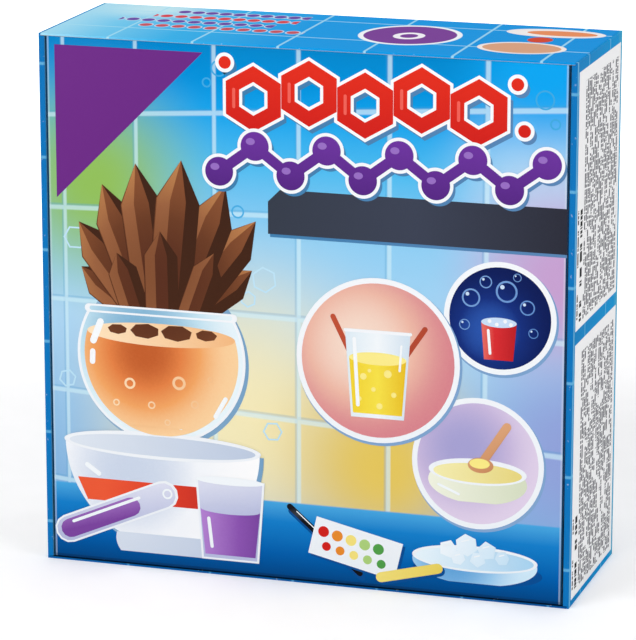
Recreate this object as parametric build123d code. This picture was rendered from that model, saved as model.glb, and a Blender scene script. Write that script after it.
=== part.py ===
from build123d import *
import os
from math import cos, radians, sin

# Chemistry set case: a folded micro-flute board case that stands upright, with a lid that
# swings from its top front edge, and two moulded foam inserts that hold the set.
# Millimetres. X runs across the front, Y from the front to the back and Z up. The origin is
# the centre of the face that the case stands on.
# The tray and the set are drawn lying on their backs, the way they are packed: x across,
# y up the front, z towards the lid and the tray's deck at z = 0. STANDING turns them upright.

os.makedirs("parts", exist_ok=True)

# ---- Case ----
CASE_WIDTH = 262.0
CASE_DEPTH = 90.0
CASE_HEIGHT = 260.0
BOARD = 1.0  # micro-flute board with its printed liner
PLIES = 3  # rolled side wall: outer ply, corner flap, inner ply
PLY_GAP = 0.05  # between plies that are pressed together
EDGE_ROUND = 0.8  # outside of a crease
LID_GAP = 0.5  # between the lid and the rolled walls
CREASE_GAP = 0.2  # between two panels at their crease
TAB_LENGTH = 30.0  # locking tabs of the rolled walls
TAB_FROM_END = 55.0
TAB_TAPER = 3.0
SLOT_GAP = 0.3
CORNER_FLAP_LENGTH = 70.0
CORNER_FLAP_SETBACK = 3.0
DUST_FLAP_DEPTH = 30.0
DUST_FLAP_FROM_END = 12.0
DUST_FLAP_GAP = 2.0  # above the tuck flap when it is folded flat
DUST_FLAP_TAPER = 10.0
FLAP_CORNER = 6.0
TUCK_TO_DECK = 3.0  # between the tuck flap's free edge and the tray's deck
TUCK_TAPER = 5.0
TUCK_CORNER = 14.0
TUCK_GAP = 0.4  # between the tuck flap's crease and the bottom wall
TUCK_LEAN = 5.0  # degrees that the tuck flap leans into the case

# ---- Tray and booklet ----
TRAY_GAP = 0.4  # between the tray and the board round it
TRAY_CORNER = 5.0
TRAY_SPLIT_FROM_TOP = 76.5  # of the joint between the two foam blocks
DECK_DEPTH = 44.0  # from the case's front face to the tray's deck
TRAY_FLOOR = 5.0  # foam left under the deep wells
WELL_CORNER = 2.0  # cut across each corner of a well
FIT = 0.3  # between a piece and its well
BOOKLET_WIDTH = 200.0
BOOKLET_HEIGHT = 220.0
BOOKLET_THICKNESS = 3.0
BOOKLET_SPINE_ROUND = 1.2

# ---- Test tubes ----
TUBE_COUNT = 2
TUBE_LENGTH = 110.0
TUBE_RADIUS = 8.0
TUBE_WALL = 1.0
DOME_CHORDS = 3  # straight steps in the round end's profile
TUBE_LEFT = -116.0
TUBE_FROM_TOP = 21.0  # of the upper tube's axis
TUBE_PITCH = 24.0
TUBE_SINK = 6.0  # of the tube's axis below the deck
STOPPER_PLUG = 12.0
STOPPER_TAPER = 0.5  # that the plug's inner end is smaller in radius
STOPPER_HEAD = 9.0
STOPPER_HEAD_RADIUS = 9.2
STOPPER_TRAVEL = 20.0
RUNNING_FIT = 0.05

# ---- Beaker ----
BEAKER_X = 66.0
BEAKER_FROM_TOP = 46.0
BEAKER_HEIGHT = 58.0
BEAKER_RADIUS = 21.0
BEAKER_WALL = 1.2
BEAKER_RIM = 1.5  # the flat rim's width and thickness

# ---- Powder jars ----
JAR_COUNT = 3
JAR_LEFT_X = -70.0
JAR_Y = 160.0
JAR_RADIUS = 13.5
JAR_WALL = 1.2
JAR_HEIGHT = 40.0
CAP_LIP = 1.0  # that the cap stands out past the jar
CAP_THICKNESS = 3.0
CAP_PLUG = 4.0
CAP_SPACING = 0.5  # between neighbouring caps

# ---- Syringe ----
SYRINGE_LEFT = -116.0
SYRINGE_Y = 122.0
SYRINGE_SINK = 5.0
BARREL_LENGTH = 70.0
BARREL_RADIUS = 6.5
BARREL_WALL = 0.9
NOZZLE_LENGTH = 10.0
NOZZLE_RADIUS = 2.2
NOZZLE_BORE = 0.9
NOZZLE_TAPER = 0.4
FLANGE_WIDTH = 26.0
FLANGE_LIP = 2.0  # that the flange's short sides stand out from the barrel
FLANGE_THICKNESS = 2.5
ROD_REACH = 13.0  # plunger rod outside the barrel when pushed home
ROD_RIB = 1.4
THUMB_RADIUS = 9.0
THUMB_THICKNESS = 2.2
SEAL_LENGTH = 8.0
PLUNGER_TRAVEL = 45.0

# ---- Tweezers ----
TWEEZERS_LEFT = -115.0
TWEEZERS_Y = 92.0
TWEEZERS_HEEL = 10.0
TWEEZERS_ARM = 98.0
TWEEZERS_BROAD = 8.0
ARM_THICKNESS = 1.6
ARM_BOW = 6.0
TIP_OPENING = 4.0
TWEEZERS_WELL = 9.0

# ---- Magnifier ----
MAGNIFIER_X = -92.0
MAGNIFIER_Y = 48.0
RING_RADIUS = 21.0
RING_BAND = 3.5
RING_THICKNESS = 6.0
LEDGE = 1.0  # that carries the lens
LEDGE_THICKNESS = 1.5
LENS_EDGE = 1.8
LENS_BULGE = 2.0
LENS_FLAT = 0.5  # share of the lens's radius that its flattened crown takes
HANDLE_LENGTH = 70.0
HANDLE_NECK = 8.0
HANDLE_WIDTH = 13.0
MAGNIFIER_WELL = 7.0

# ---- Spoon, pipette, indicator ----
SPOON_X = 109.0
SPOON_LOW = 16.0
SPOON_LENGTH = 130.0
SPOON_HANDLE = 4.0
SPOON_THICKNESS = 1.6
SPOON_BLADE = 8.0
SPOON_BLADE_LENGTH = 22.0
BOWL_RADIUS = 7.5
BOWL_BASE_RADIUS = 6.0
BOWL_DEPTH = 5.0
BOWL_WALL = 0.8
SPOON_WELL = 6.0
PIPETTE_X = 86.0
PIPETTE_LOW = 16.0
PIPETTE_TIP = 30.0
PIPETTE_TIP_RADIUS = 1.4
PIPETTE_STEM = 78.0
PIPETTE_RADIUS = 3.2
PIPETTE_BULB = 38.0
BULB_RADIUS = 6.6
PIPETTE_SINK = 3.0
CHART_X = 42.0
CHART_Y = 56.0
CHART_WIDTH = 50.0
CHART_HEIGHT = 72.0
CHART_THICKNESS = 1.0
CHART_WELL = 1.6
CHART_CORNER = 1.5
STRIP_COUNT = 5
STRIP_WIDTH = 6.0
STRIP_LENGTH = 60.0
STRIP_THICKNESS = 0.5
STRIP_PITCH = 8.0

# ---- Planes that several pieces share ----
half_width = CASE_WIDTH / 2
front = -CASE_DEPTH / 2
back = CASE_DEPTH / 2
lid_inner = front + BOARD
back_inner = back - BOARD
wall_inner = half_width - PLIES * BOARD
inner_low = BOARD + CREASE_GAP
inner_high = CASE_HEIGHT - BOARD - CREASE_GAP
lid_half = wall_inner - LID_GAP
lid_low = BOARD + TUCK_GAP
lid_high = CASE_HEIGHT - BOARD - CREASE_GAP
panel_z = front + DECK_DEPTH - back_inner  # the back panel's inner face, lying

STANDING = Pos(0, front + DECK_DEPTH, 0) * Rot(90, 0, 0)


def save(name, shape):
    shape.label = name
    export_step(shape, f"parts/{name}.step")


def block(x0, x1, y0, y1, z0, z1):
    middle = Pos((x0 + x1) / 2, (y0 + y1) / 2, (z0 + z1) / 2)
    return middle * Box(x1 - x0, y1 - y0, z1 - z0)


def edges_at(shape, along, **place):
    """Edges along an axis whose middle lies at the given coordinates."""
    def there(edge):
        middle = edge.center()
        return all(abs(getattr(middle, name.upper()) - at) < 0.01 for name, at in place.items())

    return shape.edges().filter_by(along).filter_by(there)


def turned(*profile):
    """A body of revolution about Z from (radius, height) points."""
    outline = Plane.XZ * Polyline(*profile, close=True)
    return revolve(make_face(outline), Axis.Z)


# ---- Back panel: the base of the folded blank, with a slot for each locking tab ----
tab_heights = [TAB_FROM_END, CASE_HEIGHT - TAB_FROM_END]
back_panel = block(-half_width, half_width, back_inner, back, 0, CASE_HEIGHT)
outer_rim = (
    edges_at(back_panel, Axis.Z, x=half_width, y=back)
    + edges_at(back_panel, Axis.Z, x=-half_width, y=back)
    + edges_at(back_panel, Axis.X, y=back, z=CASE_HEIGHT)
    + edges_at(back_panel, Axis.X, y=back, z=0)
)
back_panel = fillet(outer_rim, EDGE_ROUND)
for side in (-1, 1):
    for height in tab_heights:
        slot = Box(BOARD + 2 * SLOT_GAP, 3 * BOARD, TAB_LENGTH + 2 * SLOT_GAP)
        back_panel -= Pos(side * (wall_inner + BOARD / 2), back - BOARD / 2, height) * slot
save("back_panel", back_panel)

# ---- Top and bottom walls: creased from the back panel ----
wall_half = half_width - BOARD - CREASE_GAP
top_wall = block(-wall_half, wall_half, front, back_inner, CASE_HEIGHT - BOARD, CASE_HEIGHT)
top_wall = fillet(edges_at(top_wall, Axis.X, y=front, z=CASE_HEIGHT), EDGE_ROUND)
save("top_wall", top_wall)
bottom_wall = block(-wall_half, wall_half, front, back_inner, 0, BOARD)
save("bottom_wall", bottom_wall)

# ---- Corner flaps: folded ends of the top and bottom walls, inside the rolled side walls ----
flap_plan = Polyline(
    (front + CORNER_FLAP_SETBACK, BOARD),
    (back_inner - PLY_GAP, BOARD),
    (back_inner - PLY_GAP, BOARD + CORNER_FLAP_LENGTH - FLAP_CORNER),
    (back_inner - FLAP_CORNER, BOARD + CORNER_FLAP_LENGTH),
    (front + CORNER_FLAP_SETBACK + FLAP_CORNER, BOARD + CORNER_FLAP_LENGTH),
    (front + CORNER_FLAP_SETBACK, BOARD + CORNER_FLAP_LENGTH - FLAP_CORNER),
    close=True,
)
flap = extrude(make_face(Plane.YZ * flap_plan), BOARD - 2 * PLY_GAP)
lower_right = Pos(half_width - 2 * BOARD + PLY_GAP, 0, 0) * flap
middle_height = Plane.XY.offset(CASE_HEIGHT / 2)
lower_flaps = [lower_right, mirror(lower_right, about=Plane.YZ)]
upper_flaps = [mirror(one, about=middle_height) for one in lower_flaps]
save("corner_flaps", Compound(children=lower_flaps + upper_flaps))

# ---- Rolled side walls: outer ply, folded front edge, inner ply and its locking tabs ----
right_wall = block(half_width - BOARD, half_width, front, back_inner, 0, CASE_HEIGHT)
right_wall += block(wall_inner, half_width, front, front + BOARD, inner_low, inner_high)
right_wall += block(wall_inner, wall_inner + BOARD, front, back_inner, inner_low, inner_high)
folds = edges_at(right_wall, Axis.Z, x=half_width, y=front)
folds += edges_at(right_wall, Axis.Z, x=wall_inner, y=front)
right_wall = fillet(folds, EDGE_ROUND)
tab_plan = Polyline(
    (back_inner - BOARD, -TAB_LENGTH / 2),
    (back_inner, -TAB_LENGTH / 2),
    (back - PLY_GAP, TAB_TAPER - TAB_LENGTH / 2),
    (back - PLY_GAP, TAB_LENGTH / 2 - TAB_TAPER),
    (back_inner, TAB_LENGTH / 2),
    (back_inner - BOARD, TAB_LENGTH / 2),
    close=True,
)
tab = extrude(make_face(Plane.YZ * tab_plan), BOARD)
for height in tab_heights:
    right_wall += Pos(wall_inner, 0, height) * tab
save("right_side_wall", right_wall)
save("left_side_wall", mirror(right_wall, about=Plane.YZ))

# ---- Lid: the whole front, hung on the top wall's crease ----
lid = block(-lid_half, lid_half, front, lid_inner, lid_low, lid_high)
lid_folds = (
    edges_at(lid, Axis.Z, x=lid_half, y=front)
    + edges_at(lid, Axis.Z, x=-lid_half, y=front)
    + edges_at(lid, Axis.X, y=front, z=lid_low)
)
lid = fillet(lid_folds, EDGE_ROUND)
save("front_lid", lid)

# ---- Dust flaps: creased from the lid's sides, inside the rolled walls ----
flap_root = lid_inner + CREASE_GAP
tuck_depth = DECK_DEPTH - BOARD - CREASE_GAP - TUCK_TO_DECK
flap_low = lid_low + BOARD + tuck_depth + DUST_FLAP_GAP
flap_high = CASE_HEIGHT - DUST_FLAP_FROM_END
dust_plan = Polyline(
    (flap_root, flap_low),
    (flap_root + DUST_FLAP_DEPTH, flap_low + DUST_FLAP_TAPER),
    (flap_root + DUST_FLAP_DEPTH, flap_high - DUST_FLAP_TAPER),
    (flap_root, flap_high),
    close=True,
)
dust_flap = extrude(make_face(Plane.YZ * dust_plan), BOARD)
free_corners = dust_flap.edges().filter_by(Axis.X).group_by(Axis.Y)[-1]
dust_flap = fillet(free_corners, FLAP_CORNER)
right_dust = Pos(lid_half - BOARD, 0, 0) * dust_flap
save("right_dust_flap", right_dust)
save("left_dust_flap", mirror(right_dust, about=Plane.YZ))

# ---- Tuck flap: creased from the lid's lower edge, tucked in above the bottom wall ----
tuck_half = lid_half - BOARD - LID_GAP
tuck_plan = Polyline(
    (-tuck_half, 0),
    (tuck_half, 0),
    (tuck_half - TUCK_TAPER, tuck_depth),
    (TUCK_TAPER - tuck_half, tuck_depth),
    close=True,
)
tuck_flap = extrude(make_face(tuck_plan), -BOARD)
tuck_tips = tuck_flap.edges().filter_by(Axis.Z).group_by(Axis.Y)[-1]
tuck_flap = fillet(tuck_tips, TUCK_CORNER)
tuck_crease = Pos(0, flap_root, lid_low + BOARD)
save("tuck_flap", tuck_crease * Rot(TUCK_LEAN, 0, 0) * tuck_flap)

# ---- Places of the set in the tray ----
tray_bottom = panel_z + BOOKLET_THICKNESS + 2 * PLY_GAP
deep_well = -tray_bottom - TRAY_FLOOR
tube_heights = [CASE_HEIGHT - TUBE_FROM_TOP - n * TUBE_PITCH for n in range(TUBE_COUNT)]
tube_mouth = TUBE_LEFT + TUBE_LENGTH
stopper_end = tube_mouth + STOPPER_HEAD + STOPPER_TRAVEL + WELL_CORNER
cap_radius = JAR_RADIUS + CAP_LIP
jar_pitch = 2 * cap_radius + CAP_SPACING
jar_places = [JAR_LEFT_X + n * jar_pitch for n in range(JAR_COUNT)]
barrel_left = SYRINGE_LEFT + NOZZLE_LENGTH
barrel_right = barrel_left + BARREL_LENGTH
thumb_left = barrel_right + ROD_REACH
plunger_end = thumb_left + THUMB_THICKNESS + PLUNGER_TRAVEL
handle_end = MAGNIFIER_X + RING_RADIUS + HANDLE_LENGTH
stem_end = PIPETTE_LOW + PIPETTE_TIP + PIPETTE_STEM
pipette_end = stem_end + PIPETTE_BULB
tweezers_end = TWEEZERS_LEFT + TWEEZERS_HEEL + TWEEZERS_ARM

# ---- Inserts: an upper and a lower foam block, each well sunk into their deck ----
OVERSHOOT = 1.0  # of a cut above the deck


def well(x0, x1, y0, y1, depth, corner=WELL_CORNER):
    """A well that leaves the fit round a piece's outline."""
    outline = Rectangle(x1 - x0 + 2 * FIT, y1 - y0 + 2 * FIT)
    outline = chamfer(outline.vertices(), corner)
    return Pos((x0 + x1) / 2, (y0 + y1) / 2, OVERSHOOT) * extrude(outline, -(depth + OVERSHOOT))


wells = []
for height in tube_heights:
    low, high = height - TUBE_RADIUS, height + TUBE_RADIUS
    wells.append(well(TUBE_LEFT, stopper_end, low, high, TUBE_SINK + TUBE_RADIUS + FIT))
    low, high = height - STOPPER_HEAD_RADIUS, height + STOPPER_HEAD_RADIUS
    head_left = tube_mouth - WELL_CORNER
    wells.append(well(head_left, stopper_end, low, high, TUBE_SINK + STOPPER_HEAD_RADIUS + FIT))
beaker_y = CASE_HEIGHT - BEAKER_FROM_TOP
beaker_sides = (BEAKER_X - BEAKER_RADIUS, BEAKER_X + BEAKER_RADIUS)
low, high = beaker_y - BEAKER_RADIUS, beaker_y + BEAKER_RADIUS
wells.append(well(*beaker_sides, low, high, deep_well))
jar_sides = (jar_places[0] - JAR_RADIUS, jar_places[-1] + JAR_RADIUS)
wells.append(well(*jar_sides, JAR_Y - JAR_RADIUS, JAR_Y + JAR_RADIUS, deep_well))
low, high = SYRINGE_Y - BARREL_RADIUS, SYRINGE_Y + BARREL_RADIUS
wells.append(well(SYRINGE_LEFT, barrel_right, low, high, SYRINGE_SINK + BARREL_RADIUS + FIT))
travel_left = barrel_right - 2 * FLANGE_THICKNESS
low, high = SYRINGE_Y - FLANGE_WIDTH / 2, SYRINGE_Y + FLANGE_WIDTH / 2
wells.append(well(travel_left, plunger_end, low, high, SYRINGE_SINK + THUMB_RADIUS + FIT))
tweezers_reach = ARM_BOW + 2 * ARM_THICKNESS
low, high = TWEEZERS_Y - tweezers_reach, TWEEZERS_Y + tweezers_reach
wells.append(well(TWEEZERS_LEFT, tweezers_end, low, high, TWEEZERS_WELL))
ring_sides = (MAGNIFIER_X - RING_RADIUS, MAGNIFIER_X + RING_RADIUS)
low, high = MAGNIFIER_Y - RING_RADIUS, MAGNIFIER_Y + RING_RADIUS
wells.append(well(*ring_sides, low, high, MAGNIFIER_WELL))
low, high = MAGNIFIER_Y - HANDLE_WIDTH / 2, MAGNIFIER_Y + HANDLE_WIDTH / 2
wells.append(well(MAGNIFIER_X, handle_end, low, high, MAGNIFIER_WELL))
spoon_sides = (SPOON_X - BOWL_RADIUS, SPOON_X + BOWL_RADIUS)
wells.append(well(*spoon_sides, SPOON_LOW, SPOON_LOW + SPOON_LENGTH, SPOON_WELL))
stem_sides = (PIPETTE_X - PIPETTE_RADIUS, PIPETTE_X + PIPETTE_RADIUS)
wells.append(well(*stem_sides, PIPETTE_LOW, pipette_end, PIPETTE_SINK + PIPETTE_RADIUS + FIT))
bulb_sides = (PIPETTE_X - BULB_RADIUS, PIPETTE_X + BULB_RADIUS)
wells.append(well(*bulb_sides, stem_end, pipette_end, PIPETTE_SINK + BULB_RADIUS + FIT))
chart_sides = (CHART_X - CHART_WIDTH / 2, CHART_X + CHART_WIDTH / 2)
low, high = CHART_Y - CHART_HEIGHT / 2, CHART_Y + CHART_HEIGHT / 2
wells.append(well(*chart_sides, low, high, CHART_WELL, corner=CHART_CORNER - FIT))

tray_half = wall_inner - TRAY_GAP
tray_low = BOARD + TRAY_GAP
tray_high = CASE_HEIGHT - BOARD - TRAY_GAP
tray_split = CASE_HEIGHT - TRAY_SPLIT_FROM_TOP


def foam_block(low, high):
    """A block across the case between two heights, with its share of the wells."""
    foam = extrude(RectangleRounded(2 * tray_half, high - low, TRAY_CORNER), tray_bottom)
    return STANDING * (Pos(0, (low + high) / 2, 0) * foam - wells)


save("upper_insert", foam_block(tray_split + TRAY_GAP / 2, tray_high))
save("lower_insert", foam_block(tray_low, tray_split - TRAY_GAP / 2))

# ---- Instruction booklet: flat between the tray and the back panel ----
booklet = Box(BOOKLET_WIDTH, BOOKLET_HEIGHT, BOOKLET_THICKNESS)
spine = booklet.edges().filter_by(Axis.Y).group_by(Axis.X)[0]
booklet = fillet(spine, BOOKLET_SPINE_ROUND)
booklet_z = panel_z + PLY_GAP + BOOKLET_THICKNESS / 2
save("instruction_booklet", STANDING * Pos(0, CASE_HEIGHT / 2, booklet_z) * booklet)

# ---- Test tubes and their stoppers, lying with the mouth to the right ----
dome_angles = [radians(90 * n / DOME_CHORDS) for n in range(DOME_CHORDS + 1)]
bore = TUBE_RADIUS - TUBE_WALL


def dome(radius):
    """Profile of the round end about the tube's last centre, from the axis to the side."""
    return [(radius * sin(angle), TUBE_RADIUS - radius * cos(angle)) for angle in dome_angles]


mouth = [(TUBE_RADIUS, TUBE_LENGTH), (bore, TUBE_LENGTH)]
tube = turned(*dome(TUBE_RADIUS), *mouth, *reversed(dome(bore)))
plug = bore - RUNNING_FIT
stopper = turned(
    (0, -STOPPER_PLUG),
    (plug - STOPPER_TAPER, -STOPPER_PLUG),
    (plug, RUNNING_FIT),
    (STOPPER_HEAD_RADIUS, RUNNING_FIT),
    (STOPPER_HEAD_RADIUS, STOPPER_HEAD),
    (0, STOPPER_HEAD),
)
for n, height in enumerate(tube_heights, start=1):
    lying = Pos(TUBE_LEFT, height, -TUBE_SINK) * Rot(0, 90, 0)
    save(f"test_tube_{n}", STANDING * lying * tube)
    save(f"tube_stopper_{n}", STANDING * lying * Pos(0, 0, TUBE_LENGTH) * stopper)

# ---- Beaker: straight, with a flat rim ----
beaker = turned(
    (0, 0),
    (BEAKER_RADIUS, 0),
    (BEAKER_RADIUS, BEAKER_HEIGHT - BEAKER_RIM),
    (BEAKER_RADIUS + BEAKER_RIM, BEAKER_HEIGHT - BEAKER_RIM),
    (BEAKER_RADIUS + BEAKER_RIM, BEAKER_HEIGHT),
    (BEAKER_RADIUS - BEAKER_WALL, BEAKER_HEIGHT),
    (BEAKER_RADIUS - BEAKER_WALL, BEAKER_WALL),
    (0, BEAKER_WALL),
)
save("beaker", STANDING * Pos(BEAKER_X, beaker_y, FIT - deep_well) * beaker)

# ---- Powder jars and their plug caps ----
jar_bore = JAR_RADIUS - JAR_WALL
jar = turned(
    (0, 0),
    (JAR_RADIUS, 0),
    (JAR_RADIUS, JAR_HEIGHT),
    (jar_bore, JAR_HEIGHT),
    (jar_bore, JAR_WALL),
    (0, JAR_WALL),
)
cap_seat = JAR_HEIGHT + RUNNING_FIT
cap = turned(
    (0, JAR_HEIGHT - CAP_PLUG),
    (jar_bore - RUNNING_FIT, JAR_HEIGHT - CAP_PLUG),
    (jar_bore - RUNNING_FIT, cap_seat),
    (cap_radius, cap_seat),
    (cap_radius, cap_seat + CAP_THICKNESS),
    (0, cap_seat + CAP_THICKNESS),
)
for n, x in enumerate(jar_places, start=1):
    place = STANDING * Pos(x, JAR_Y, FIT - deep_well)
    save(f"powder_jar_{n}", place * jar)
    save(f"jar_cap_{n}", place * cap)

# ---- Syringe: barrel with finger flange, ribbed plunger and rubber seal ----
barrel_bore = BARREL_RADIUS - BARREL_WALL
barrel = turned(
    (NOZZLE_BORE, -NOZZLE_LENGTH),
    (NOZZLE_RADIUS, -NOZZLE_LENGTH),
    (NOZZLE_RADIUS + NOZZLE_TAPER, 0),
    (BARREL_RADIUS, 0),
    (BARREL_RADIUS, BARREL_LENGTH),
    (barrel_bore, BARREL_LENGTH),
    (barrel_bore, BARREL_WALL),
    (NOZZLE_BORE, BARREL_WALL),
)
flange = extrude(Ellipse(FLANGE_WIDTH / 2 - FIT, BARREL_RADIUS + FLANGE_LIP), FLANGE_THICKNESS)
flange -= Cylinder(BARREL_RADIUS - BARREL_WALL / 2, 4 * FLANGE_THICKNESS)
barrel += Pos(0, 0, BARREL_LENGTH - FLANGE_THICKNESS) * Rot(0, 0, 90) * flange
seal_radius = barrel_bore - RUNNING_FIT
seal_start = BARREL_WALL + FIT
seal = turned(
    (0, seal_start),
    (seal_radius, seal_start),
    (seal_radius, seal_start + SEAL_LENGTH),
    (0, seal_start + SEAL_LENGTH),
)
rod_start = seal_start + SEAL_LENGTH
rod_end = BARREL_LENGTH + ROD_REACH
rod_radius = barrel_bore - FIT
rib = block(-rod_radius, rod_radius, -ROD_RIB / 2, ROD_RIB / 2, rod_start, rod_end)
plunger = rib + Rot(0, 0, 90) * rib
collar = Cylinder(rod_radius, ROD_RIB, align=(Align.CENTER, Align.CENTER, Align.MIN))
plunger += Pos(0, 0, rod_start) * collar
thumb = Cylinder(THUMB_RADIUS, THUMB_THICKNESS, align=(Align.CENTER, Align.CENTER, Align.MIN))
plunger += Pos(0, 0, rod_end) * thumb
syringe_place = STANDING * Pos(barrel_left, SYRINGE_Y, -SYRINGE_SINK) * Rot(0, 90, 0)
save("syringe_barrel", syringe_place * barrel)
save("plunger_seal", syringe_place * seal)
save("syringe_plunger", syringe_place * plunger)

# ---- Tweezers: two bowed arms on a heel, tips to the right ----
heel_end = TWEEZERS_LEFT + TWEEZERS_HEEL
arm_start = heel_end + CREASE_GAP
arm_middle = (arm_start + tweezers_end) / 2


def arm_edge(lift):
    middle, tip = (arm_middle, ARM_BOW + lift), (tweezers_end, TIP_OPENING + lift)
    return ThreePointArc((arm_start, lift), middle, tip)


inner_edge, outer_edge = arm_edge(PLY_GAP), arm_edge(PLY_GAP + ARM_THICKNESS)
arm_outline = [
    inner_edge,
    Line(inner_edge @ 1, outer_edge @ 1),
    outer_edge,
    Line(outer_edge @ 0, inner_edge @ 0),
]
arm = extrude(make_face(arm_outline), TWEEZERS_BROAD)
tweezers_place = STANDING * Pos(0, TWEEZERS_Y, FIT - TWEEZERS_WELL)
save("tweezers_upper_arm", tweezers_place * arm)
save("tweezers_lower_arm", tweezers_place * mirror(arm, about=Plane.XZ))
heel_half = ARM_THICKNESS + PLY_GAP
heel = block(TWEEZERS_LEFT, heel_end, -heel_half, heel_half, 0, TWEEZERS_BROAD)
heel = fillet(heel.edges().filter_by(Axis.Z).group_by(Axis.X)[0], ARM_THICKNESS)
save("tweezers_heel", tweezers_place * heel)

# ---- Magnifier: ring and handle in one moulding, with a lens on the ring's ledge ----
ring_bore = RING_RADIUS - RING_BAND
ring = turned(
    (ring_bore, 0),
    (RING_RADIUS, 0),
    (RING_RADIUS, RING_THICKNESS),
    (ring_bore + LEDGE, RING_THICKNESS),
    (ring_bore + LEDGE, LEDGE_THICKNESS),
    (ring_bore, LEDGE_THICKNESS),
)
handle_left = RING_RADIUS - RING_BAND / 2
handle_right = RING_RADIUS + HANDLE_LENGTH
handle_plan = Polyline(
    (handle_left, -HANDLE_NECK / 2),
    (handle_right, -HANDLE_WIDTH / 2),
    (handle_right, HANDLE_WIDTH / 2),
    (handle_left, HANDLE_NECK / 2),
    close=True,
)
handle = extrude(make_face(handle_plan), RING_THICKNESS)
handle = fillet(handle.edges().filter_by(Axis.Z).group_by(Axis.X)[-1], HANDLE_WIDTH / 2 - FIT)
lens_radius = ring_bore + LEDGE - PLY_GAP
lens = turned(
    (0, 0),
    (lens_radius, 0),
    (lens_radius, LENS_EDGE),
    (LENS_FLAT * lens_radius, LENS_EDGE + LENS_BULGE),
    (0, LENS_EDGE + LENS_BULGE),
)
magnifier_place = STANDING * Pos(MAGNIFIER_X, MAGNIFIER_Y, FIT - MAGNIFIER_WELL)
save("magnifier_frame", magnifier_place * (ring + handle))
save("magnifier_lens", magnifier_place * Pos(0, 0, LEDGE_THICKNESS + PLY_GAP) * lens)

# ---- Measuring spoon: a cup at the upper end and a flat blade at the lower ----
bowl = turned(
    (0, -BOWL_DEPTH),
    (BOWL_BASE_RADIUS, -BOWL_DEPTH),
    (BOWL_RADIUS, 0),
    (BOWL_RADIUS - BOWL_WALL, 0),
    (BOWL_BASE_RADIUS - BOWL_WALL, BOWL_WALL - BOWL_DEPTH),
    (0, BOWL_WALL - BOWL_DEPTH),
)
spoon_high = SPOON_LENGTH - BOWL_RADIUS
handle_top = spoon_high - BOWL_RADIUS + BOWL_WALL
half_grip = SPOON_HANDLE / 2
half_blade = SPOON_BLADE / 2
shoulder = SPOON_BLADE_LENGTH + half_blade
spoon_plan = Polyline(
    (-half_blade, 0),
    (half_blade, 0),
    (half_blade, SPOON_BLADE_LENGTH),
    (half_grip, shoulder),
    (half_grip, handle_top),
    (-half_grip, handle_top),
    (-half_grip, shoulder),
    (-half_blade, SPOON_BLADE_LENGTH),
    close=True,
)
spoon = extrude(make_face(spoon_plan), -SPOON_THICKNESS)
spoon = fillet(spoon.edges().filter_by(Axis.Z).group_by(Axis.Y)[0], half_blade - FIT)
spoon += Pos(0, spoon_high, 0) * bowl
spoon_lift = BOWL_DEPTH - SPOON_WELL + FIT
save("measuring_spoon", STANDING * Pos(SPOON_X, SPOON_LOW, spoon_lift) * spoon)

# ---- Pipette: drawn tip, stem and squeeze bulb ----
bulb_low = PIPETTE_TIP + PIPETTE_STEM + BULB_RADIUS
bulb_high = PIPETTE_TIP + PIPETTE_STEM + PIPETTE_BULB
pipette = turned(
    (0, 0),
    (PIPETTE_TIP_RADIUS, 0),
    (PIPETTE_RADIUS, PIPETTE_TIP),
    (PIPETTE_RADIUS, PIPETTE_TIP + PIPETTE_STEM),
    (BULB_RADIUS, bulb_low),
    (BULB_RADIUS, bulb_high - BULB_RADIUS / 2),
    (BULB_RADIUS / 2, bulb_high),
    (0, bulb_high),
)
pipette_place = STANDING * Pos(PIPETTE_X, PIPETTE_LOW, -PIPETTE_SINK) * Rot(-90, 0, 0)
save("pipette", pipette_place * pipette)

# ---- Indicator: colour chart card and the strips that lie on it ----
chart_base = -CHART_WELL
card = Box(CHART_WIDTH, CHART_HEIGHT, CHART_THICKNESS)
card = fillet(card.edges().filter_by(Axis.Z), CHART_CORNER)
save("ph_chart", STANDING * Pos(CHART_X, CHART_Y, chart_base + CHART_THICKNESS / 2) * card)
strip = Box(STRIP_WIDTH, STRIP_LENGTH, STRIP_THICKNESS)
strip_z = chart_base + CHART_THICKNESS + STRIP_THICKNESS / 2
strip_offsets = [(n - (STRIP_COUNT - 1) / 2) * STRIP_PITCH for n in range(STRIP_COUNT)]
strips = [Pos(CHART_X + offset, CHART_Y, strip_z) * strip for offset in strip_offsets]
save("ph_strips", STANDING * Compound(children=strips))
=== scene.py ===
import math

import bmesh
import bpy
from mathutils import Matrix, Vector


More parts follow.
